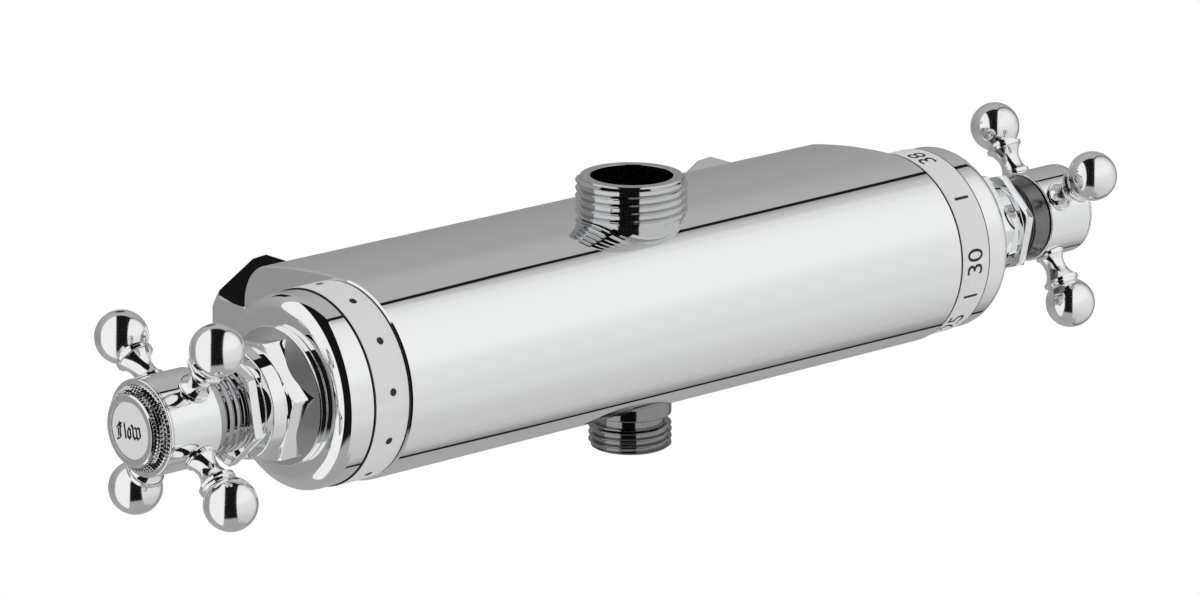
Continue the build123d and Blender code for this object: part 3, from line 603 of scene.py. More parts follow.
@dataclass(frozen=True)
class Lathe:
    """An axis on which turned pieces are made."""

    centre: Vector
    axis: Vector
    outwards: Vector
    steps: int = 128

    def place(self, along: float, radius: float) -> Vector:
        """Point of the outline for a place along the axis and a radius, both in millimetres."""
        return self.centre + self.axis * (along * MM) + self.outwards * (radius * MM)

    def turn(self, name: str, outline: Outline, angle: float = SHARP_ANGLE) -> Piece:
        """Draw an outline point by point and spin it about the axis.

        Args:
            name: the new piece's name.
            outline: points as (along, radius) in millimetres; away from the axis its ends are joined.
            angle: edges sharper than this stay sharp.

        Returns:
            The turned piece.
        """
        if outline[0] != outline[-1] and min(outline[0][1], outline[-1][1]) > 0.0:
            outline = [*outline, outline[0]]
        places = [self.place(along, radius) for along, radius in outline]
        piece = point_at(name, places[0])
        draw_line(places[1:], places[0])
        bpy.ops.mesh.select_all(action="SELECT")
        bpy.ops.mesh.spin(steps=self.steps, angle=math.tau, center=self.centre, axis=self.axis)
        tidy_shell()
        return finish_mesh(piece, angle)


def block_outline(low: float, high: float, radius: float) -> Outline:
    """Outline of a plain round bar between two places along the axis."""
    return [(low, 0.0), (low, radius), (high, radius), (high, 0.0)]


def bar_lathe(end: End, steps: int = 128) -> Lathe:
    """Lathe on the bar's axis, with places counted outwards from the middle of the bar."""
    return Lathe(BAR_POINT, ALONG_BAR * end.value, TO_FRONT, steps)


def upright_lathe(up: int, steps: int, centre: Vector = BAR_POINT) -> Lathe:
    """Lathe that stands on the bar's axis, with places counted from it: up 1, down -1."""
    return Lathe(centre, UPWARDS * up, TO_FRONT, steps)


def hexagon(
    name: str,
    lathe: Lathe,
    start: float,
    end: float,
    flats: float,
    corner: Vector,
    cut: float,
    rise: float,
    edge: float,
    bore: Outline | None = None,
) -> Piece:
    """Make a hexagon with its corners turned off at both faces, bored through where asked.

    Args:
        name: the piece's name.
        lathe: the axis it is made on.
        start: first face, along the axis, in millimetres.
        end: second face.
        flats: distance across the flats.
        corner: direction of one corner, square to the axis.
        cut: how much is turned off each corner at the faces.
        rise: how far from a face the corner reaches its full radius.
        edge: width of the softened edges.
        bore: outline of what is turned out of the middle, as (along, radius), if anything is.

    Returns:
        The hexagon.
    """
    reach = flats / 2 / math.cos(math.radians(30.0))
    start_clean()
    bpy.ops.mesh.primitive_cylinder_add(vertices=6, radius=reach * MM, depth=(end - start) * MM)
    piece = named(name)
    middle = lathe.place((start + end) / 2, 0.0)
    piece.data.transform(frame_of(corner.cross(lathe.axis), corner, lathe.axis, middle))
    if bore:
        carve(piece, lathe.turn(f"{name}_bore", bore), "DIFFERENCE")
    # The trimming cone goes on past both faces by this much, at the same slope.
    past = 1.0
    low = reach - cut * (1.0 + past / rise)
    cone = [(start - past, 0.0), (start - past, low), (start + rise, reach), (end - rise, reach)]
    trim = lathe.turn(f"{name}_trim", cone + [(end + past, low), (end + past, 0.0)])
    carve(piece, trim, "INTERSECT")
    apply_modifier(
        piece,
        "BEVEL",
        width=edge * MM,
        segments=2,
        limit_method="ANGLE",
        angle_limit=math.radians(24.0),
        harden_normals=False,
    )
    return finish_mesh(piece, math.radians(18.0))


# ---------------------------------------------------------------------------------------------
# The bar


@dataclass
class Bar:
    """The cast body: half-round front, crowned top and bottom, rounded back corners (millimetres)."""

    half_length: float = 92.5
    front_radius: float = 24.8
    crown_radius: float = 160.0
    back_depth: float = 38.5
    back_corner: float = 11.0
    slices: int = 92
    front_steps: int = 120
    crown_steps: int = 14
    corner_steps: int = 24
    edge_chamfer: float = 0.4
    top_seat_radius: float = 12.32
    bottom_seat_radius: float = 10.42
    seat_depth: float = 14.0
    well_radius: float = 5.0
    well_start: float = 2.0
    half_height_cleared: float = 40.0
    shell: Piece | None = None

    def build(self) -> None:
        """Spin an edge round the section, close the ends and cut the outlet seats."""
        depth = self.back_depth - self.back_corner
        reach = self.crown_radius - self.back_corner
        corner_lift = math.degrees(math.asin(depth / reach))
        low = Vector((-self.half_length * MM, BAR_Y, -self.front_radius * MM))
        piece = point_at("body_shell", low)
        draw_line([low + ALONG_BAR * (2 * self.half_length * MM)], low)
        bpy.ops.mesh.select_all(action="SELECT")
        bpy.ops.mesh.subdivide(number_cuts=self.slices)
        bpy.ops.mesh.select_all(action="SELECT")
        self.sweep(-180.0, (0.0, 0.0), self.front_steps)
        crown_centre = self.front_radius - self.crown_radius
        self.sweep(-corner_lift, (0.0, crown_centre), self.crown_steps)
        height = crown_centre + reach * math.cos(math.radians(corner_lift))
        self.sweep(-(90.0 - corner_lift), (depth, height), self.corner_steps)
        bpy.ops.mesh.extrude_region_move(TRANSFORM_OT_translate={"value": Vector((0.0, 0.0, -2 * height * MM))})
        self.sweep(-(90.0 - corner_lift), (depth, -height), self.corner_steps)
        self.sweep(-corner_lift, (0.0, -crown_centre), self.crown_steps)
        tidy_shell()
        select_open_edges()
        bpy.ops.mesh.edge_face_add()
        tidy_shell()
        finish_mesh(piece)
        apply_modifier(
            piece,
            "BEVEL",
            width=self.edge_chamfer * MM,
            segments=1,
            limit_method="ANGLE",
            angle_limit=math.radians(60.0),
        )
        for up, radius in ((1, self.top_seat_radius), (-1, self.bottom_seat_radius)):
            start, floor, outside = self.well_start, self.seat_depth, self.half_height_cleared
            outline = [(start, 0.0), (start, self.well_radius), (floor, self.well_radius), (floor, radius)]
            outline += [(outside, radius), (outside, 0.0)]
            carve(piece, upright_lathe(up, 96).turn("seat_cutter", outline), "DIFFERENCE")
        self.shell = finish_mesh(piece)

    def sweep(self, angle: float, centre: tuple[float, float], steps: int) -> None:
        """Spin the selected edge about a line along the bar.

        Args:
            angle: degrees about +X.
            centre: depth behind the bar's axis and height, in millimetres.
            steps: pieces in the spin.
        """
        place = Vector((0.0, BAR_Y + centre[0] * MM, centre[1] * MM))
        bpy.ops.mesh.spin(steps=steps, angle=-math.radians(angle), center=place, axis=ALONG_BAR)

    def dress(self) -> None:
        """Chrome the bar."""
        dress(self.shell, POLISHED_CHROME, "mixer", "polished_chrome", "body")


# ---------------------------------------------------------------------------------------------
# Graduated rings, end caps, bonnets, lock nuts and stop collars


@dataclass
class EndTrim:
    """What is fixed at one end of the bar, from the graduated ring out to the stop collar."""

    end: End
    ring_start: float = 92.5
    ring_end: float = 103.2
    ring_radius: float = 24.2
    ring_bore: float = 21.0
    joint_width: float = 0.3
    joint_floor: float = 23.3
    # Root and crest radii of the black rings in the joints, which paint the joints' shade.
    shade_ring_root: float = 23.2
    inner_shade_ring: float = 24.0
    outer_shade_ring: float = 24.15
    cap_back_bore: float = 19.0
    cap_face_bore: float = 15.6
    cap_face: float = 112.0
    cap_radius: float = 23.9
    cap_shoulder: float = 4.0
    flange_radius: float = 17.0
    flange_end: float = 114.0
    cone_radius: float = 16.75
    cone_top_radius: float = 13.9
    cone_length: float = 4.3
    cone_bore: float = 12.0
    hex_end: float = 121.3
    hex_flats: float = 28.0
    hex_corner: float = 169.0
    band_radius: float = 13.2
    band_root_radius: float = 13.75
    band_end: float = 125.2
    neck_radius: float = 10.4
    nose_radius: float = 9.0
    lock_start: float = 128.2
    lock_end: float = 130.6
    lock_flats: float = 24.0
    lock_corner: float = 139.0
    collar_start: float = 133.6
    collar_end: float = 139.0
    collar_radius: float = 11.2
    groove_depth: float = 0.55
    groove_half: float = 0.5
    grooves: tuple[float, ...] = (132.2, 134.2, 136.4)
    nose_end: float = 138.7
    pieces: dict[str, Piece] = field(default_factory=dict)

    def build(self) -> None:
        """Turn the round pieces and cut the two hexagons."""
        lathe = bar_lathe(self.end)
        title = self.end.title
        self.pieces["ring"] = lathe.turn(f"{title}_graduated_ring", self.ring_outline())
        self.pieces["joints"] = self.build_joint_shade_rings(lathe)
        self.pieces["cap"] = lathe.turn(f"{title}_shoulder_cap", self.cap_outline(), math.radians(40.0))
        head_corner, lock_corner = around_bar(self.hex_corner), around_bar(self.lock_corner)
        name, span = f"{title}_bonnet_hexagon", (self.flange_end, self.hex_end)
        head = hexagon(name, lathe, *span, self.hex_flats, head_corner, cut=0.6, rise=0.4, edge=0.12)
        self.pieces["bonnet"] = join(lathe.turn(f"{title}_bonnet_stem", self.stem_outline()), head)
        cone_end = self.flange_end + self.cone_length
        cone = [(self.flange_end, self.cone_bore), (self.flange_end, self.cone_radius)]
        cone += [(cone_end, self.cone_top_radius), (cone_end, self.cone_bore)]
        self.pieces["cone"] = lathe.turn(f"{title}_bonnet_cone", cone)
        name, span = f"{title}_thin_lock_nut", (self.lock_start, self.lock_end)
        self.pieces["lock"] = hexagon(
            name, lathe, *span, self.lock_flats, lock_corner, cut=0.55, rise=0.28, edge=0.08
        )
        self.pieces["collar"] = lathe.turn(f"{title}_plain_collar", self.collar_outline())

    def ring_outline(self) -> Outline:
        """Outline of the graduated ring, with a joint on either side."""
        start, end = self.ring_start + self.joint_width, self.ring_end - self.joint_width
        corners = [Corner(self.ring_start, self.ring_bore), Corner(self.ring_start, self.joint_floor)]
        corners += [Corner(start, self.joint_floor), Corner(start, self.ring_radius, 0.12)]
        corners += [Corner(end, self.ring_radius, 0.12), Corner(end, self.joint_floor)]
        corners += [Corner(self.ring_end, self.joint_floor), Corner(self.ring_end, self.ring_bore)]
        return rounded_outline(corners, 3)

    def build_joint_shade_rings(self, lathe: Lathe) -> Piece:
        """Turn the two black rings that fill the joints beside the ring: painted shade that darkens the joint
        lines.
        """
        name, root = f"{self.end.title}_ring_joints", self.shade_ring_root
        shading_rings = []
        for start, crest in (
            (self.ring_start, self.inner_shade_ring),
            (self.ring_end - self.joint_width, self.outer_shade_ring),
        ):
            low, high = start + 0.01, start + self.joint_width - 0.01
            shading_rings.append(lathe.turn(name, [(low, root), (low, crest), (high, crest), (high, root)]))
        return join(*shading_rings)

    def cap_outline(self) -> Outline:
        """Outline of the end cap with its rounded shoulder."""
        corners = [Corner(self.ring_end, self.cap_back_bore), Corner(self.ring_end, self.cap_radius, 0.3)]
        corners += [Corner(self.cap_face, self.cap_radius, self.cap_shoulder)]
        corners += [Corner(self.cap_face, self.cap_face_bore)]
        return rounded_outline(corners, 20, 0.12)

    def stem_outline(self) -> Outline:
        """Outline of the bonnet's flange, band, neck and nose."""
        under_cone = self.cone_top_radius - 0.4
        band_start = self.hex_end - 0.3
        corners = [Corner(self.cap_face, 0.0), Corner(self.cap_face, self.flange_radius, 0.25)]
        corners += [Corner(self.flange_end - 0.35, self.flange_radius, 0.1)]
        corners += [Corner(self.flange_end, self.cone_radius - 0.2)]
        corners += [Corner(self.flange_end + self.cone_length, under_cone), Corner(band_start, under_cone)]
        corners += [Corner(band_start, self.band_root_radius), Corner(self.band_end, self.band_radius, 0.35)]
        corners += [Corner(self.band_end, self.neck_radius, 0.2), Corner(self.lock_start, self.neck_radius)]
        corners += [Corner(self.lock_start, self.nose_radius), Corner(self.nose_end, self.nose_radius, 0.2)]
        return rounded_outline([*corners, Corner(self.nose_end, 0.0)], 3)

    def collar_outline(self) -> Outline:
        """Outline of the stop collar: grooved by the flow handle, plain by the other."""
        corners = [Corner(self.lock_end, self.nose_radius), Corner(self.lock_end, self.neck_radius, 0.1)]
        if self.end is End.FLOW:
            floor = self.neck_radius - self.groove_depth
            for groove in self.grooves:
                corners.append(Corner(groove - self.groove_half, self.neck_radius, 0.45))
                corners.append(Corner(groove, floor, 0.1))
                corners.append(Corner(groove + self.groove_half, self.neck_radius, 0.45))
            corners.append(Corner(self.collar_end, self.neck_radius, 0.25))
        else:
            corners.append(Corner(self.collar_start, self.neck_radius, 0.15))
            corners.append(Corner(self.collar_start, self.collar_radius, 0.25))
            corners.append(Corner(self.collar_end, self.collar_radius, 0.25))
        corners.append(Corner(self.collar_end, self.nose_radius))
        return rounded_outline(corners, 3)

    def dress(self) -> None:
        """Chrome the pieces, with a satin ring and a nickelled collar."""
        title = self.end.title
        dress(self.pieces["ring"], SATIN_CHROME, "mixer", "satin_chrome", f"{title}_ring")
        # The joint rings are painted shade, in the black rubber finish.
        dress(self.pieces["joints"], SEAL_RUBBER, "mixer", "rubber")
        dress(self.pieces["cap"], POLISHED_CHROME, "mixer", "polished_chrome", f"{title}_end_cap")
        dress(self.pieces["bonnet"], POLISHED_CHROME, "mixer", "polished_chrome", f"{title}_bonnet")
        dress(self.pieces["cone"], AS_TURNED_CHROME, "mixer", "polished_chrome")
        dress(self.pieces["lock"], POLISHED_CHROME, "mixer", "polished_chrome", f"{title}_lock_nut")
        collar_finish = DARK_NICKEL if self.end is End.FLOW else GREY_NICKEL
        dress(self.pieces["collar"], collar_finish, "mixer", "grey_collar", f"{title}_stop_collar")


@dataclass
class FlowDots:
    """The black dots punched round the flow ring (millimetres and degrees)."""

    ring_centre: float = 97.6
    ring_radius: float = 24.2
    dot_radius: float = 0.95
    thickness: float = 0.2
    proud: float = 0.03
    rim: float = 0.12
    count: int = 12
    first_angle: float = 172.6
    marks: Piece | None = None

    def build(self) -> None:
        """Model one dot and copy it round the ring."""
        start_clean()
        bpy.ops.mesh.primitive_cylinder_add(vertices=24, radius=self.dot_radius * MM, depth=self.thickness * MM)
        dot = named("flow_ring_dots")
        edit(dot)
        select_where(dot, "FACE", lambda face: face.normal.z > 0.9)
        bpy.ops.mesh.inset(thickness=self.rim * MM)
        bpy.ops.transform.translate(value=(0.0, 0.0, -self.proud * MM))
        start_clean()
        outside = self.ring_radius + self.proud - self.thickness / 2
        copies = []
        for index in range(self.count):
            outwards = around_bar(self.first_angle + index * 360.0 / self.count)
            place = BAR_POINT + outwards * (outside * MM) - ALONG_BAR * (self.ring_centre * MM)
            move = frame_of(ALONG_BAR, outwards.cross(ALONG_BAR), outwards, place)
            copies.append(copy_of(dot, f"dot_{index}", move))
        bpy.data.objects.remove(dot, do_unlink=True)
        self.marks = join(*copies)
        self.marks.name = "flow_ring_dots"
        finish_mesh(self.marks)

    def dress(self) -> None:
        """Fill the dots with black paint."""
        dress(self.marks, ENGRAVING_PAINT, "mixer", "rubber")


@dataclass
class TemperatureScale:
    """The numbers and lines round the temperature ring (millimetres and degrees)."""

    ring_centre: float = 98.1
    ring_radius: float = 24.2
    digit_height: float = 5.3
    line_start: float = 95.8
    line_end: float = 100.6
    line_width: float = 0.75
    line_rim: float = 0.06
    thickness: float = 0.12
    proud: float = 0.03
    digit_share: float = 0.7
    numbers: dict[str, float] = field(
        default_factory=lambda: {"38": 99.5, "30": 180.0, "25": 227.5, "20": 275.0, "15": 322.5, "45": 29.5}
    )
    lines: tuple[float, ...] = (139.0, 203.0, 251.0, 299.0, 64.5, 356.0)
    marks: Piece | None = None

    def build(self) -> None:
        """Make each number from text and each line from a block, and bend them on to the ring."""
        parts = [self.number(text, angle) for text, angle in self.numbers.items()]
        parts += [self.line(angle) for angle in self.lines]
        self.marks = join(*parts)
        self.marks.name = "temperature_ring_numbers"
        self.marks.data.name = self.marks.name
        finish_mesh(self.marks)

    def number(self, text: str, angle: float) -> Piece:
        """Make one number as a thin solid, bent on to the ring at an angle."""
        start_clean()
        bpy.ops.object.text_add()
        label = bpy.context.object
        label.data.body = text
        label.data.align_x = "CENTER"
        label.data.align_y = "CENTER"
        label.data.size = self.digit_height * MM / self.digit_share
        label.data.extrude = self.thickness * MM / 2
        label.data.resolution_u = 6
        bpy.ops.object.convert(target="MESH")
        self.bend(label, angle, self.ring_centre)
        return label

    def line(self, angle: float) -> Piece:
        """Make one line along the bar as a thin block, bent on to the ring at an angle."""
        start_clean()
        bpy.ops.mesh.primitive_cube_add(size=1.0)
        block = bpy.context.object
        length = (self.line_end - self.line_start) * MM
        block.data.transform(Matrix.Diagonal((self.line_width * MM, length, self.thickness * MM, 1.0)))
        edit(block)
        select_where(block, "FACE", lambda face: face.normal.z > 0.9)
        bpy.ops.mesh.inset(thickness=self.line_rim * MM)
        start_clean()
        self.bend(block, angle, (self.line_start + self.line_end) / 2)
        return block

    def bend(self, piece: Piece, angle: float, station: float) -> None:
        """Bend a flat mark on to the ring: its reading direction runs upwards at the front.

        Args:
            piece: the mark, flat in its own XY plane and facing +Z.
            angle: where its middle goes, in degrees.
            station: its middle along the bar.
        """
        base = self.ring_radius + self.proud - self.thickness / 2
        for vertex in piece.data.vertices:
            along, across, height = vertex.co
            place = math.radians(angle) - along / (self.ring_radius * MM)
            radius = base * MM + height
            vertex.co = (station * MM - across, BAR_Y + radius * math.cos(place), radius * math.sin(place))

    def dress(self) -> None:
        """Fill the marks with black paint."""
        dress(self.marks, ENGRAVING_PAINT, "mixer", "rubber")


# ---------------------------------------------------------------------------------------------
# Cross handles


@dataclass
class Handle:
    """One cross handle: hub, four arms, knurled index cap and enamelled disc."""

    end: End
    first_angle: float
    word: str
    word_up_angle: float
    hub_start: float = 139.3
    hub_end: float = 154.4
    hub_radius: float = 11.8
    rim_groove: Triple = (0.9, 0.65, 0.35)
    end_recess: tuple[float, float] = (8.0, 1.0)
    arm_station: float = 143.9
    foot_radius: float = 3.9
    waist_radius: float = 2.75
    lip_radius: float = 4.7
    lip_start: float = 19.0
    lip_width: float = 1.0
    ball_radius: float = 6.5
    ball_from_axis: float = 25.7
    stud: Triple = (8.0, 12.6, 2.4)
    saddle_reach: float = 8.0
    arm_root: float = 9.4
    foot_height: float = 0.55
    foot_curve: float = 2.4
    bell_curve: float = 1.9
    waist_share: float = 0.46
    throat_inset: float = 0.45
    neck_inset: float = 0.55
    curve_steps: int = 24
    ball_steps: int = 48
    joint_gap: float = 0.1
    cap_radius: float = 10.45
    shoulder_radius: float = 9.85
    flank_end_radius: float = 8.78
    face_radius: float = 8.4
    cap_end: float = 157.6
    disc_radius: float = 6.9
    disc_recess: float = 0.22
    knurl_columns: int = 60
    knurl_rows: int = 2
    knurl_depth: float = 0.5
    knurl_sunk: float = 0.55
    pieces: dict[str, Piece] = field(default_factory=dict)
    arms: list[Piece] = field(default_factory=list)

    def build(self) -> None:
        """Turn the hub, the arms and the cap, and letter the disc."""
        title = self.end.title
        lathe = bar_lathe(self.end)
        out, back, cut = self.rim_groove
        radius, floor = self.hub_radius, self.hub_radius - cut
        recess, recess_floor = self.end_recess[0], self.hub_end - self.end_recess[1]
        corners = [Corner(self.hub_start, 0.0), Corner(self.hub_start, radius, 0.4)]
        corners += [Corner(self.hub_end - out, radius, 0.04), Corner(self.hub_end - out, floor)]
        corners += [Corner(self.hub_end - back, floor), Corner(self.hub_end - back, radius, 0.04)]
        corners += [Corner(self.hub_end, radius, 0.3), Corner(self.hub_end, recess)]
        corners += [Corner(recess_floor, recess), Corner(recess_floor, 0.0)]
        outline = rounded_outline(corners, 4)
        self.pieces["hub"] = lathe.turn(f"{title}_handle_hub", outline)
        self.build_arms()
        self.pieces["cap"] = self.build_cap(lathe)
        self.pieces["knurl"] = self.knurl(f"{title}_knurled_band")
        back, face = self.cap_end - 1.1, self.cap_end - self.disc_recess
        disc = [Corner(back, 0.0), Corner(back, self.disc_radius), Corner(face, self.disc_radius, 0.12)]
        self.pieces["disc"] = lathe.turn(f"{title}_enamel_disc", rounded_outline(disc + [Corner(face, 0.0)], 3))
        letters = Blackletter(self.word, self.end, self.word_up_angle, self.cap_end - self.disc_recess + 0.02)
        self.pieces["word"] = letters.build(f"{title}_disc_word")

    def arm_outline(self) -> Outline:
        """Outline of one arm from its foot to the tip of its ball, from the bar's axis outwards."""
        throat = self.lip_radius - self.throat_inset
        foot_top = self.hub_radius + self.foot_height
        foot_radius = self.foot_radius - 0.3
        points = [(self.arm_root, 0.0), (self.arm_root, self.foot_radius), (foot_top - 0.06, self.foot_radius)]
        points += [(foot_top, self.foot_radius - 0.05), (foot_top + 0.02, foot_radius)]
        bell_top = self.lip_start - 0.05
        waist_at = foot_top + (bell_top - foot_top) * self.waist_share
        for step in range(1, self.curve_steps + 1):
            along = foot_top + (bell_top - foot_top) * step / self.curve_steps
            if along < waist_at:
                share = ((waist_at - along) / (waist_at - foot_top)) ** self.foot_curve
                wide = foot_radius
            else:
                share = ((along - waist_at) / (bell_top - waist_at)) ** self.bell_curve
                wide = throat
            points.append((along, self.waist_radius + (wide - self.waist_radius) * share))
        lip_end = self.lip_start + self.lip_width
        points += [(self.lip_start, self.lip_radius - 0.1), (self.lip_start + 0.1, self.lip_radius)]
        points += [(lip_end - 0.12, self.lip_radius), (lip_end, self.lip_radius - 0.12)]
        neck = self.lip_radius - self.neck_inset
        start = self.ball_from_axis - math.sqrt(self.ball_radius**2 - neck**2)
        points += [(lip_end, neck + 0.05), (start - 0.02, neck)]
        first = math.atan2(neck, start - self.ball_from_axis)
        for step in range(1, self.ball_steps):
            bend = first * (1 - step / self.ball_steps)
            along = self.ball_from_axis + self.ball_radius * math.cos(bend)
            points.append((along, self.ball_radius * math.sin(bend)))
        return [*points, (self.ball_from_axis + self.ball_radius, 0.0)]

    def build_arms(self) -> None:
        """Turn one arm, fit its foot to the hub, and copy it round."""
        title = self.end.title
        centre = BAR_POINT + ALONG_BAR * (self.end.value * self.arm_station * MM)
        upright = upright_lathe(1, 72, centre)
        soft = math.radians(28.0)
        first = upright.turn(f"{title}_arm_start", self.arm_outline(), soft)
        low, high = self.arm_station - self.saddle_reach, self.arm_station + self.saddle_reach
        saddle = block_outline(low, high, self.hub_radius + self.joint_gap)
        carve(first, bar_lathe(self.end, 160).turn("saddle", saddle), "DIFFERENCE")
        stud = upright.turn("stud", block_outline(*self.stud))
        join(first, stud)
        finish_mesh(first, soft)
        for index in range(4):
            angle = self.first_angle + index * 90.0 - 90.0
            turn = Matrix.Rotation(math.radians(angle), 4, "X")
            spin = Matrix.Translation(centre) @ turn @ Matrix.Translation(-centre)
            self.arms.append(copy_of(first, f"{title}_turned_arm_{index + 1}", spin))
        bpy.data.objects.remove(first, do_unlink=True)

    def flank(self) -> list[Vector]:
        """Points of the cap's knurled flank as (along, radius), from the hub to the face."""
        low = Vector((self.hub_end + 0.12, self.cap_radius))
        middle = Vector(((self.hub_end + self.cap_end) / 2, self.shoulder_radius))
        return [low, middle, Vector((self.cap_end - 0.35, self.flank_end_radius))]

    def build_cap(self, lathe: Lathe) -> Piece:
        """Turn the index cap, on which the knurled band lies."""
        low, middle, high = self.flank()
        under, aside = 0.35, 0.1
        hole, floor = self.disc_radius + 0.14, self.cap_end - 0.9
        corners = [Corner(self.hub_end, 0.0), Corner(self.hub_end, low.y - aside)]
        corners += [Corner(low.x, low.y - aside), Corner(low.x + aside, low.y - under)]
        corners += [Corner(middle.x - aside, middle.y - under), Corner(high.x - aside, high.y - under)]
        corners += [Corner(high.x, high.y - 0.02), Corner(self.cap_end, self.face_radius, 0.12)]
        corners += [Corner(self.cap_end, hole, 0.06), Corner(floor, hole), Corner(floor, 0.0)]
        return lathe.turn(f"{self.end.title}_cap_core", rounded_outline(corners, 4))

    def knurl(self, name: str) -> Piece:
        """Net a band with diamonds, raise each one to a point and lay the band on the flank."""
        start_clean()
        bpy.ops.mesh.primitive_cylinder_add(
            vertices=self.knurl_columns, radius=self.cap_radius * MM, depth=MM, end_fill_type="NOTHING"
        )
        band = named(name)
        edit(band)
        select_where(band, "EDGE", lambda edge: abs(edge.verts[0].co.z - edge.verts[1].co.z) > 0.5 * MM)
        bpy.ops.mesh.subdivide(number_cuts=self.knurl_rows - 1)
        bpy.ops.mesh.select_all(action="SELECT")
        bpy.ops.mesh.poke(offset=0.0)

        def on_row(vertex: bmesh.types.BMVert) -> bool:
            """True for a point of the first net, which lies on a row's edge."""
            share = (vertex.co.z / MM + 0.5) * self.knurl_rows
            return abs(share - round(share)) < 0.05

        select_where(band, "EDGE", lambda edge: all(map(on_row, edge.verts)) and not edge.is_boundary)
        bpy.ops.mesh.dissolve_edges(use_verts=False)
        bpy.ops.mesh.select_mode(type="FACE")
        bpy.ops.mesh.select_all(action="SELECT")
        bpy.ops.mesh.normals_make_consistent(inside=False)
        bpy.ops.mesh.poke(offset=self.knurl_depth * MM)
        start_clean()
        low, middle, high = self.flank()
        first, second = middle - low, high - middle
        bend = first.length / (first.length + second.length)
        for vertex in band.data.vertices:
            share = vertex.co.z / MM + 0.5
            lift = vertex.co.xy.length / MM - self.cap_radius - self.knurl_depth * self.knurl_sunk
            if share < bend:
                run, foot = first, low + first * (share / bend)
            else:
                run, foot = second, middle + second * ((share - bend) / (1 - bend))
            place = foot + Vector((-run.y, run.x)).normalized() * lift
            round_axis = vertex.co.xy.normalized() * (place.y * MM)
            vertex.co = Vector((round_axis.x, round_axis.y, place.x * MM))
        edit(band)
        select_open_edges()
        bpy.ops.mesh.bridge_edge_loops()
        tidy_shell()
        start_clean()
        outwards = Matrix.Rotation(math.radians(90.0) * self.end.value, 4, "Y")
        outwards.translation = BAR_POINT
        band.data.transform(outwards)
        return finish_mesh(band, math.radians(20.0))

    def dress(self) -> None:
        """Chrome the metal and enamel the disc."""
        title = self.end.title
        body = f"{title}_handle"
        dress(self.pieces["hub"], POLISHED_CHROME, body, "polished_chrome", f"{title}_hub")
        for index, arm in enumerate(self.arms, 1):
            dress(arm, BUFFED_CHROME, body, "polished_chrome", f"{title}_arm_{index}")
        dress(self.pieces["cap"], POLISHED_CHROME, body, "polished_chrome", f"{title}_index_cap")
        dress(self.pieces["knurl"], TURNED_CHROME, body, "polished_chrome")
        dress(self.pieces["disc"], VITREOUS_ENAMEL, body, "enamel", f"{title}_index_disc")
        dress(self.pieces["word"], ENGRAVING_PAINT, body, "rubber")


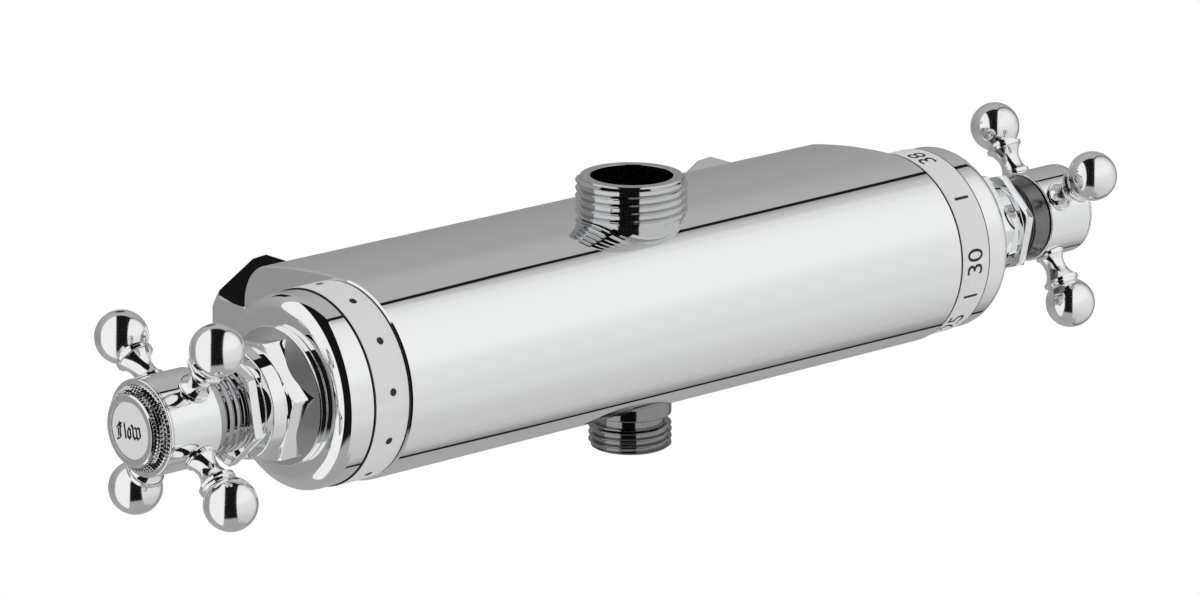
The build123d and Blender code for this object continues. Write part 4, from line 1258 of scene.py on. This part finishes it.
@dataclass
class Blackletter:
    """A short word in plain broad-nib letters, laid on an index disc."""

    word: str
    end: End
    up_angle: float
    face: float
    nib: float = 0.8
    nib_angle: float = 38.0
    hairline: float = 0.2
    shift: float = -0.6
    middle_height: float = 1.9
    thickness: float = 0.06
    overlap: float = 0.04

    STROKES = {
        "F": (
            3.1,
            [
                [(1.34, 3.89), (1.89, 3.5), (2.5, 3.76)],
                [(0.05, 2.61), (0.55, 2.95), (1.0, 3.3), (1.6, 3.1)],
                [(0.8, 2.61), (0.62, 0.64)],
                [(1.64, 3.4), (1.64, 2.78), (1.33, 1.15), (1.49, 0.64), (0.62, -0.04), (-0.11, 0.09)],
                [(1.36, 2.61), (2.15, 2.86)],
            ],
        ),
        "T": (
            3.3,
            [
                [(0.26, 3.54), (0.83, 4.16), (1.87, 3.85), (2.91, 4.26)],
                [(1.87, 3.64), (1.87, 0.65), (2.47, 0.26)],
                [(0.78, 3.25), (0.62, 1.82), (0.78, 0.78), (1.61, 0.21)],
            ],
        ),
        "l": (1.0, [[(0.2, 3.76), (0.2, 0.09)]]),
        "o": (
            1.68,
            [
                [(0.68, 2.6), (0.21, 1.84), (0.06, 0.64), (0.75, 0.0)],
                [(0.68, 2.65), (1.24, 2.01), (1.14, 0.47), (0.75, 0.0)],
            ],
        ),
        "w": (
            3.5,
            [
                [(0.12, 3.33), (0.68, 2.69), (0.44, 0.64), (0.93, -0.04), (1.77, 0.47)],
                [(1.31, 2.69), (1.99, 2.35), (1.77, 0.47), (2.11, -0.08), (3.27, 0.56)],
                [(2.43, 2.69), (3.12, 2.44), (3.07, 1.15), (3.27, 0.56)],
            ],
        ),
        "e": (
            1.75,
            [
                [(1.3, 1.56), (1.35, 2.13), (0.94, 2.55), (0.47, 2.08), (0.47, 0.57)]
                + [(0.94, 0.13), (1.4, 0.47)],
                [(0.52, 1.25), (1.3, 1.56)],
            ],
        ),
        "m": (
            2.95,
            [
                [(0.21, 2.18), (0.52, 2.5), (0.52, 0.21)],
                [(0.52, 2.08), (1.09, 2.55), (1.46, 2.18), (1.46, 0.21)],
                [(1.46, 2.08), (2.03, 2.55), (2.39, 2.18), (2.39, 0.52), (2.65, 0.16)],
            ],
        ),
        "p": (
            1.95,
            [
                [(0.21, 2.18), (0.52, 2.5), (0.52, -1.3)],
                [(0.52, 2.08), (1.04, 2.55), (1.46, 2.13), (1.46, 0.57), (1.04, 0.13), (0.52, 0.36)],
            ],
        ),
    }

    def build(self, name: str) -> Piece:
        """Draw each stroke as the path of a broad nib, and lay the word on the disc.

        Args:
            name: the piece's name.

        Returns:
            The word as one thin solid.
        """
        widths = [self.STROKES[letter][0] for letter in self.word]  # millimetres, like the strokes
        pen = -sum(widths) / 2
        parts = []
        for letter, width in zip(self.word, widths):
            for stroke in self.STROKES[letter][1]:
                places = [Vector((pen + self.shift + x, y - self.middle_height)) for x, y in stroke]
                parts += [self.nib_path(first, last) for first, last in zip(places, places[1:])]
            pen += width
        word = join(*parts)
        word.name = name
        word.data.name = name
        upright = around_bar(self.up_angle)
        outwards = ALONG_BAR * self.end.value
        place = BAR_POINT + outwards * ((self.face - self.thickness) * MM)
        word.data.transform(frame_of(upright.cross(outwards), upright, outwards, place))
        return finish_mesh(word)

    def nib_path(self, first: Vector, last: Vector) -> Piece:
        """Make one straight stroke of the nib as a thin slanted block.

        Args:
            first: where the stroke starts, in millimetres.
            last: where it ends.

        Returns:
            The stroke, flat in the XY plane.
        """
        slant = math.radians(self.nib_angle)
        half = Vector((math.cos(slant), math.sin(slant))) * (self.nib / 2)
        run = (last - first).normalized()
        side = Vector((-run.y, run.x))
        width = half.dot(side)
        if abs(width) < self.hairline:
            half += side * (math.copysign(self.hairline, width) - width)
        run *= self.overlap
        corners = [first - half - run, first + half - run, last + half + run, last - half + run]
        start_clean()
        bpy.ops.mesh.primitive_plane_add(size=2.0)
        plate = bpy.context.object
        order = {(-1, -1): 0, (1, -1): 1, (1, 1): 2, (-1, 1): 3}
        for vertex in plate.data.vertices:
            corner = corners[order[(round(vertex.co.x), round(vertex.co.y))]]
            vertex.co = Vector((corner.x * MM, corner.y * MM, 0.0))
        edit(plate)
        bpy.ops.mesh.extrude_region_move(TRANSFORM_OT_translate={"value": (0.0, 0.0, self.thickness * MM)})
        bpy.ops.mesh.select_all(action="SELECT")
        bpy.ops.mesh.normals_make_consistent(inside=False)
        start_clean()
        return plate


# ---------------------------------------------------------------------------------------------
# Outlets and wall connections


@dataclass
class Outlet:
    """A threaded nipple on the bar's outlet axis (millimetres, heights from the bar's axis)."""

    name: str
    up: int
    outline: list[Corner]
    thread_start: float
    thread_end: float
    thread_radius: float
    pitch: float
    node: str
    finish: Metal = TURNED_CHROME
    crest_share: float = 0.1
    foot_share: float = 0.62
    foot_sunk: float = 0.1
    sleeve_wall: float = 0.6
    piece: Piece | None = None

    def build(self) -> None:
        """Turn the core and run a helical thread along it."""
        core = upright_lathe(self.up, 144).turn(self.name, rounded_outline(self.outline, 3))
        ridge = self.thread()
        self.piece = finish_mesh(join(core, ridge), math.radians(38.0))
        self.piece.name = self.name

    def thread(self) -> Piece:
        """Screw a tooth's outline round the axis and turn its ends down.

        Returns:
            The thread as a closed helical ridge.
        """
        depth = THREAD_DEPTH_SHARE * self.pitch
        root = self.thread_radius - depth
        turns = math.ceil((self.thread_end - self.thread_start) / self.pitch) + 1
        start = self.thread_start - self.pitch
        start_clean()
        bpy.ops.mesh.primitive_plane_add(size=2.0, location=BAR_POINT)
        ridge = bpy.context.object
        crest, foot = self.crest_share / 2 * self.pitch, self.foot_share / 2 * self.pitch
        sunk = root - self.foot_sunk
        tooth = {
            (-1, -1): (sunk, -foot),
            (1, -1): (self.thread_radius, -crest),
            (1, 1): (self.thread_radius, crest),
            (-1, 1): (sunk, foot),
        }
        for vertex in ridge.data.vertices:
            radius, height = tooth[(round(vertex.co.x), round(vertex.co.y))]
            vertex.co = Vector((radius * MM, 0.0, (start + height) * MM))
        edit(ridge)
        bpy.ops.mesh.delete(type="ONLY_FACE")
        start_clean()
        apply_modifier(
            ridge,
            "SCREW",
            axis="Z",
            angle=math.tau,
            screw_offset=self.pitch * MM,
            iterations=turns,
            steps=96,
            render_steps=96,
            use_merge_vertices=True,
            merge_threshold=0.001 * MM,
        )
        edit(ridge)
        select_open_edges()
        bpy.ops.mesh.fill_holes(sides=0)
        tidy_shell()
        start_clean()
        if self.up < 0:
            ridge.data.transform(Matrix.Rotation(math.pi, 4, "X"))
        pick(ridge)
        bpy.ops.object.transform_apply(location=True, rotation=True, scale=True)
        inside, over = root - self.sleeve_wall, self.thread_radius + 0.01
        outline = [(self.thread_start, inside), (self.thread_start, self.thread_radius - depth * 0.6)]
        outline += [(self.thread_start + depth * 0.5, over), (self.thread_end - depth * 0.7, over)]
        outline += [(self.thread_end, self.thread_radius - depth), (self.thread_end, inside)]
        sleeve = upright_lathe(self.up, 144).turn("thread_sleeve", outline)
        carve(ridge, sleeve, "INTERSECT")
        return ridge

    def dress(self) -> None:
        """Give the nipple its turned and plated finish."""
        dress(self.piece, self.finish, "mixer", "polished_chrome", self.node)


def top_outlet() -> Outlet:
    """The upper nipple, which takes the riser."""
    foot, top, bore, radius, pitch = 14.0, 35.0, 10.35, 14.0, 2.0
    root = radius - THREAD_DEPTH_SHARE * pitch
    corners = [Corner(foot, bore), Corner(foot, 12.3), Corner(24.9, 12.3), Corner(25.0, root)]
    corners += [Corner(34.3, root), Corner(top, 12.8, 0.12), Corner(top, bore, 0.12), Corner(foot, bore)]
    return Outlet("riser_outlet", 1, corners, 25.0, 34.6, radius, pitch, "top_outlet")


def bottom_outlet() -> Outlet:
    """The lower nipple, which takes the hose."""
    foot, end, bore, radius, pitch, relief = 14.0, 34.8, 7.5, 10.4775, 1.814, 8.7
    root = radius - THREAD_DEPTH_SHARE * pitch
    corners = [Corner(foot, bore), Corner(foot, 10.4), Corner(26.2, 10.4, 0.35), Corner(26.2, relief)]
    corners += [Corner(28.3, relief), Corner(28.4, root), Corner(34.3, root), Corner(end, 9.4, 0.1)]
    corners += [Corner(end, bore, 0.1), Corner(foot, bore)]
    # The hose outlet takes the darker plate, whose colour is painted shade.
    return Outlet("hose_outlet", -1, corners, 28.4, 34.6, radius, pitch, "bottom_outlet", SHADED_TURNED_CHROME)


@dataclass
class UnionNut:
    """The loose hexagon nut of one wall connection (millimetres, depths from the wall plane)."""

    inlet: Inlet
    flats: float = 30.0
    length: float = 14.8
    bore: float = 12.06
    centre_distance: float = 75.0
    piece: Piece | None = None

    def build(self) -> None:
        """Make the hexagon with its turned corners and bore it."""
        title = self.inlet.title
        lathe = Lathe(ALONG_BAR * (self.inlet.value * self.centre_distance * MM), TO_FRONT, UPWARDS, 96)
        bore = [(-1.0, 0.0), (-1.0, 13.2), (0.2, 13.2), (1.2, self.bore), (8.0, self.bore), (8.0, 12.4)]
        bore += [(12.0, 12.4), (12.0, 10.55), (16.0, 10.55), (16.0, 0.0)]
        name, span = f"{title}_union_hexagon", (0.0, self.length)
        self.piece = hexagon(
            name, lathe, *span, self.flats, UPWARDS, cut=1.12, rise=2.6, edge=0.15, bore=bore
        )

    def dress(self) -> None:
        """Chrome the nut."""
        title = self.inlet.title
        dress(self.piece, POLISHED_CHROME, f"{title}_union", "polished_chrome", f"{title}_union_nut")


@dataclass
class InnerParts:
    """The pieces inside the valve, which keep their CAD shapes and get their own finishes."""

    finishes: dict[str, Finish] = field(
        default_factory=lambda: {
            "brass": TURNED_BRASS,
            "ceramic": LAPPED_CERAMIC,
            "rubber": SEAL_RUBBER,
            "steel": SPRING_STEEL,
            "moulded_plastic": MOULDED_ACETAL,
            "copper": DRAWN_COPPER,
            "polished_chrome": POLISHED_CHROME,
            "satin_chrome": SATIN_CHROME,
            "grey_collar": GREY_NICKEL,
            "enamel": VITREOUS_ENAMEL,
        }
    )

    def dress(self) -> None:
        """Give every CAD node the finish of its material slot."""
        slots = {part["node"]: part["material_slot"] for part in frame["record"]["subparts"]}
        for name, node in frame["nodes"].items():
            finish = self.finishes[slots[name]]
            node.data.materials.clear()
            node.data.materials.append(finish.material())


# ---------------------------------------------------------------------------------------------
# Studio


class Tone(Enum):
    """Brightness of a studio surface, as linear strength."""

    BLACK = 0.008
    GREY = 0.37
    WHITE = 0.93


@dataclass
class Field:
    """A number that varies over a surface: an output socket with arithmetic on it."""

    tree: Tree
    socket: Socket

    def combine(self, operation: str, other: "Field | float") -> "Field":
        """Work on this number and another one, or a constant, with a math node."""
        node = add_node(self.tree, "ShaderNodeMath", {"operation": operation}, {0: self.socket})
        if isinstance(other, Field):
            self.tree.links.new(other.socket, node.inputs[1])
        else:
            node.inputs[1].default_value = other
        return Field(self.tree, node.outputs[0])

    def __add__(self, other: "Field | float") -> "Field":
        return self.combine("ADD", other)

    def __mul__(self, other: "Field | float") -> "Field":
        return self.combine("MULTIPLY", other)

    def over(self, edge: float, softness: float = 0.02) -> "Field":
        """One where the number is more than an edge, zero where it is less, soft between."""
        low, high = edge - softness / 2, edge + softness / 2
        step = {"interpolation_type": "SMOOTHSTEP", "From Min": low, "From Max": high}
        node = add_node(self.tree, "ShaderNodeMapRange", step, {"Value": self.socket})
        return Field(self.tree, node.outputs[0])

    def under(self, edge: float, softness: float = 0.02) -> "Field":
        """One where the number is less than an edge, zero where it is more, soft between."""
        return self.over(edge, softness) * -1.0 + 1.0

    def blend(self, other: "Field | float", share: "Field") -> "Field":
        """Go from this number to another one by a share."""
        return self + share * (self * -1.0 + other)

    def graded(self, stops: tuple[tuple[float, float], ...]) -> "Field":
        """Turn an angle in radians into a value by stops of degrees and value, in rising order."""
        low, high = stops[0][0], stops[-1][0]
        span = {"From Min": math.radians(low), "From Max": math.radians(high)}
        share = add_node(self.tree, "ShaderNodeMapRange", span, {"Value": self.socket})
        ramp = add_node(self.tree, "ShaderNodeValToRGB", {}, {"Fac": share.outputs[0]})
        band = ramp.color_ramp
        band.interpolation = "EASE"
        while len(band.elements) < len(stops):
            band.elements.new(0.5)
        for element, (degrees, _) in zip(band.elements, stops):
            element.position = (degrees - low) / (high - low)
        for element, (_, value) in zip(band.elements, stops):
            element.color = (value, value, value, 1.0)
        return Field(self.tree, ramp.outputs[0])


@dataclass
class LightTent:
    """The dome that the chrome mirrors: grey cloth with two white panels and a dark gap.

    It shows in reflections only, so it is in nobody's way when the camera goes round. Its cloth
    is laid out by three level directions: across the shot, ahead along the shot, and square to
    the edge of the right panel.
    """

    radius: float = 0.7
    across: Triple = (0.742, -0.670, 0.0)
    ahead: Triple = (0.670, 0.742, 0.0)
    square: Triple = (-0.1908, 0.9816, 0.0)
    gap: tuple[float, float] = (-0.435, 0.286)
    strip_width: float = 0.055
    panel_foot: float = -0.89
    gap_foot: float = -0.63
    grey_by_height: tuple[tuple[float, float], ...] = (
        (-90.0, 1.0),
        (-45.0, 1.06),
        (-24.0, 0.96),
        (-12.0, 0.83),
        (0.0, 0.86),
        (20.0, 1.02),
        (45.0, 1.22),
        (90.0, 1.22),
    )
    right_by_height: tuple[tuple[float, float], ...] = (
        (-66.0, 0.6),
        (-45.0, 0.66),
        (-20.0, 0.8),
        (0.0, 0.86),
        (22.0, 1.0),
        (40.0, 1.0),
        (61.0, 0.95),
    )
    right_by_bearing: tuple[tuple[float, float], ...] = (
        (-117.0, 1.0),
        (-30.0, 1.0),
        (-18.0, 0.96),
        (-8.0, 0.86),
        (2.0, 0.62),
        (11.0, 0.42),
    )

    def build(self) -> None:
        """Put the dome round the bar."""
        start_clean()
        bpy.ops.mesh.primitive_uv_sphere_add(segments=96, ring_count=48, radius=self.radius, location=BAR_POINT)
        dome = named("light_tent")
        edit(dome)
        bpy.ops.mesh.flip_normals()
        finish_mesh(dome)
        reflect_only(dome, self.cloth())

    def cloth(self) -> Material:
        """Make the glow of the cloth and its panels from the place on the dome."""
        material, tree = empty_material("light_tent_cloth")
        place = add_node(tree, "ShaderNodeTexCoord")
        moved = {"operation": "SUBTRACT", 1: BAR_POINT}
        centred = add_node(tree, "ShaderNodeVectorMath", moved, {0: place.outputs["Object"]})
        shrunk = {"operation": "SCALE", "Scale": 1.0 / self.radius}
        unit = add_node(tree, "ShaderNodeVectorMath", shrunk, {0: centred.outputs[0]})
        parts = add_node(tree, "ShaderNodeSeparateXYZ", {}, {0: unit.outputs[0]})
        height = Field(tree, parts.outputs[2])
        bearing = Field(tree, parts.outputs[1]).combine("ARCTAN2", Field(tree, parts.outputs[0]))
        lift = height.combine("ARCSINE", 0.0)
        across, ahead, square = (
            self.reach(tree, unit.outputs[0], direction) for direction in (self.across, self.ahead, self.square)
        )
        above = height.combine("MAXIMUM", 0.0)
        steep = (height.combine("ABSOLUTE", 0.0) + -0.8).combine("MAXIMUM", 0.0)
        near = (ahead + above * -0.5).under(-0.10)
        edge = square + steep * 0.8
        foot = height.over(self.panel_foot, 0.07)

        tone = lift.graded(self.grey_by_height) * Tone.GREY.value
        left_white = across.under(self.gap[0]) * near * foot
        tone = tone.blend(Tone.WHITE.value, left_white)
        right_glow = lift.graded(self.right_by_height) * bearing.graded(self.right_by_bearing)
        right_glow = right_glow * Tone.WHITE.value
        tone = tone.blend(right_glow, across.over(self.gap[1]) * edge.under(0.0) * foot)
        strip = edge.over(0.0) * edge.under(self.strip_width) * across.over(0.2) * foot
        tone = tone.blend(Tone.BLACK.value, strip)
        dark_gap = across.over(self.gap[0]) * across.under(self.gap[1]) * near
        dark_gap = dark_gap * height.over(self.gap_foot, 0.14)
        tone = tone.blend(Tone.BLACK.value, dark_gap)
        glow = add_node(tree, "ShaderNodeEmission", {"Color": WHITE_LIGHT}, {"Strength": tone.socket})
        add_node(tree, "ShaderNodeOutputMaterial", {}, {"Surface": glow.outputs[0]})
        return material

    @staticmethod
    def reach(tree: Tree, place: Socket, direction: Triple) -> Field:
        """How far a place lies along a direction."""
        product = add_node(tree, "ShaderNodeVectorMath", {"operation": "DOT_PRODUCT", 1: direction}, {0: place})
        return Field(tree, product.outputs["Value"])


@dataclass
class FlagCard:
    """A small black card behind the hot connection, seen only in the nut's upper flat."""

    place: Triple = (-0.064, 0.079, 0.098)
    facing: Triple = (-0.09, -0.7147, -0.693)
    size: float = 0.045

    def build(self) -> None:
        """Hang the card so that it shows in reflections only."""
        start_clean()
        bpy.ops.mesh.primitive_plane_add(size=self.size)
        card = named("flag_card")
        turned = Vector(self.facing).to_track_quat("Z", "Y").to_matrix().to_4x4()
        turned.translation = Vector(self.place)
        card.data.transform(turned)
        material, tree = empty_material("black_flag_cloth")
        glow = add_node(tree, "ShaderNodeEmission", {"Color": WHITE_LIGHT, "Strength": Tone.BLACK.value})
        add_node(tree, "ShaderNodeOutputMaterial", {}, {"Surface": glow.outputs[0]})
        reflect_only(card, material)


@dataclass
class Studio:
    """Camera, white background, floor and the light tent that the chrome mirrors."""

    camera_place: Triple = (-0.97340, -1.11983, 0.40584)
    yaw: float = 47.90
    pitch: float = 15.58
    roll: float = 0.30
    focal_pixels: float = 6011.4
    image_width: float = 1200.0
    floor_height: float = -0.82
    soft_light: float = 0.75
    lamp_place: Triple = (-0.9, -1.0, 0.9)
    lamp_size: float = 0.8
    lamp_watts: float = 3.0

    def build(self) -> None:
        """Set up the camera, the world, the floor, the light tent and the lamp."""
        self.add_camera()
        self.add_world()
        self.add_floor()
        LightTent().build()
        FlagCard().build()
        self.add_lamp()

    def add_camera(self) -> None:
        """Place the camera where the photograph was taken from."""
        yaw, pitch, roll = (math.radians(value) for value in (self.yaw, self.pitch, self.roll))
        ahead = Vector((math.cos(yaw) * math.cos(pitch), math.sin(yaw) * math.cos(pitch), -math.sin(pitch)))
        right = Vector((math.sin(yaw), -math.cos(yaw), 0.0))
        over = right.cross(ahead)
        level_right = right * math.cos(roll) + over * math.sin(roll)
        level_over = over * math.cos(roll) - right * math.sin(roll)
        lens = bpy.data.cameras.new("photo_camera")
        lens.sensor_width = 36.0
        lens.lens = self.focal_pixels * lens.sensor_width / self.image_width
        lens.clip_start = 0.01
        lens.clip_end = 50.0
        camera = bpy.data.objects.new("photo_camera", lens)
        bpy.context.scene.collection.objects.link(camera)
        camera.matrix_world = frame_of(level_right, level_over, -ahead, Vector(self.camera_place))
        bpy.context.scene.camera = camera
        bpy.context.scene.view_settings.view_transform = "Standard"

    def add_world(self) -> None:
        """White all round: for the camera, in reflections that miss the tent, and as soft light."""
        world = bpy.data.worlds.new("white_studio")
        bpy.context.scene.world = world
        world.use_nodes = True
        tree = world.node_tree
        tree.nodes.clear()
        backdrop = add_node(tree, "ShaderNodeBackground", {"Color": WHITE_LIGHT, "Strength": 1.0})
        light = add_node(tree, "ShaderNodeBackground", {"Color": WHITE_LIGHT, "Strength": self.soft_light})
        seen = ("Is Camera Ray", "Is Transmission Ray", "Is Glossy Ray")
        add_node(tree, "ShaderNodeOutputWorld", {}, {"Surface": for_rays(tree, seen, backdrop, light)})

    def add_floor(self) -> None:
        """A plain white floor well below the mixer, white to the camera and in reflections."""
        start_clean()
        bpy.ops.mesh.primitive_plane_add(size=30.0, location=(0.0, 0.0, self.floor_height))
        floor = named("studio_floor")
        finish_mesh(floor)
        material, tree = empty_material("white_floor_paper")
        paper = add_node(tree, "ShaderNodeBsdfDiffuse", {"Color": linear("#F2F2F2")})
        white = add_node(tree, "ShaderNodeEmission", {"Color": WHITE_LIGHT, "Strength": 1.0})
        shown = for_rays(tree, ("Is Camera Ray", "Is Glossy Ray"), white, paper)
        add_node(tree, "ShaderNodeOutputMaterial", {}, {"Surface": shown})
        floor.data.materials.append(material)

    def add_lamp(self) -> None:
        """Add a soft lamp that aims at the mixer and doesn't show in reflections."""
        lamp_data = bpy.data.lights.new("key_lamp", "AREA")
        lamp_data.size = self.lamp_size
        lamp_data.energy = self.lamp_watts
        lamp = bpy.data.objects.new("key_lamp", lamp_data)
        bpy.context.scene.collection.objects.link(lamp)
        place = Vector(self.lamp_place)
        turned = (BAR_POINT - place).to_track_quat("-Z", "Y").to_matrix().to_4x4()
        lamp.matrix_world = Matrix.Translation(place) @ turned
        lamp.visible_glossy = False
        lamp.visible_camera = False


# ---------------------------------------------------------------------------------------------


def main() -> None:
    """Build and dress every piece, then the studio."""
    logging.basicConfig(level=logging.INFO, format="%(message)s")
    InnerParts().dress()
    assemblies = [
        Bar(),
        EndTrim(End.FLOW),
        # The temperature end's inner ring of painted shade stands prouder, for a wider dark joint line.
        EndTrim(End.TEMPERATURE, lock_corner=162.0, inner_shade_ring=24.7),
        FlowDots(),
        TemperatureScale(),
        Handle(End.FLOW, 38.0, "Flow", 79.0),
        Handle(End.TEMPERATURE, 55.5, "Temp", 100.5),
        top_outlet(),
        bottom_outlet(),
        UnionNut(Inlet.HOT),
        UnionNut(Inlet.COLD),
    ]
    for assembly in assemblies:
        assembly.build()
        assembly.dress()
        LOG.info("built %s", type(assembly).__name__)
    Studio().build()
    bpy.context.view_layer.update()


if __name__ == "__main__":
    main()
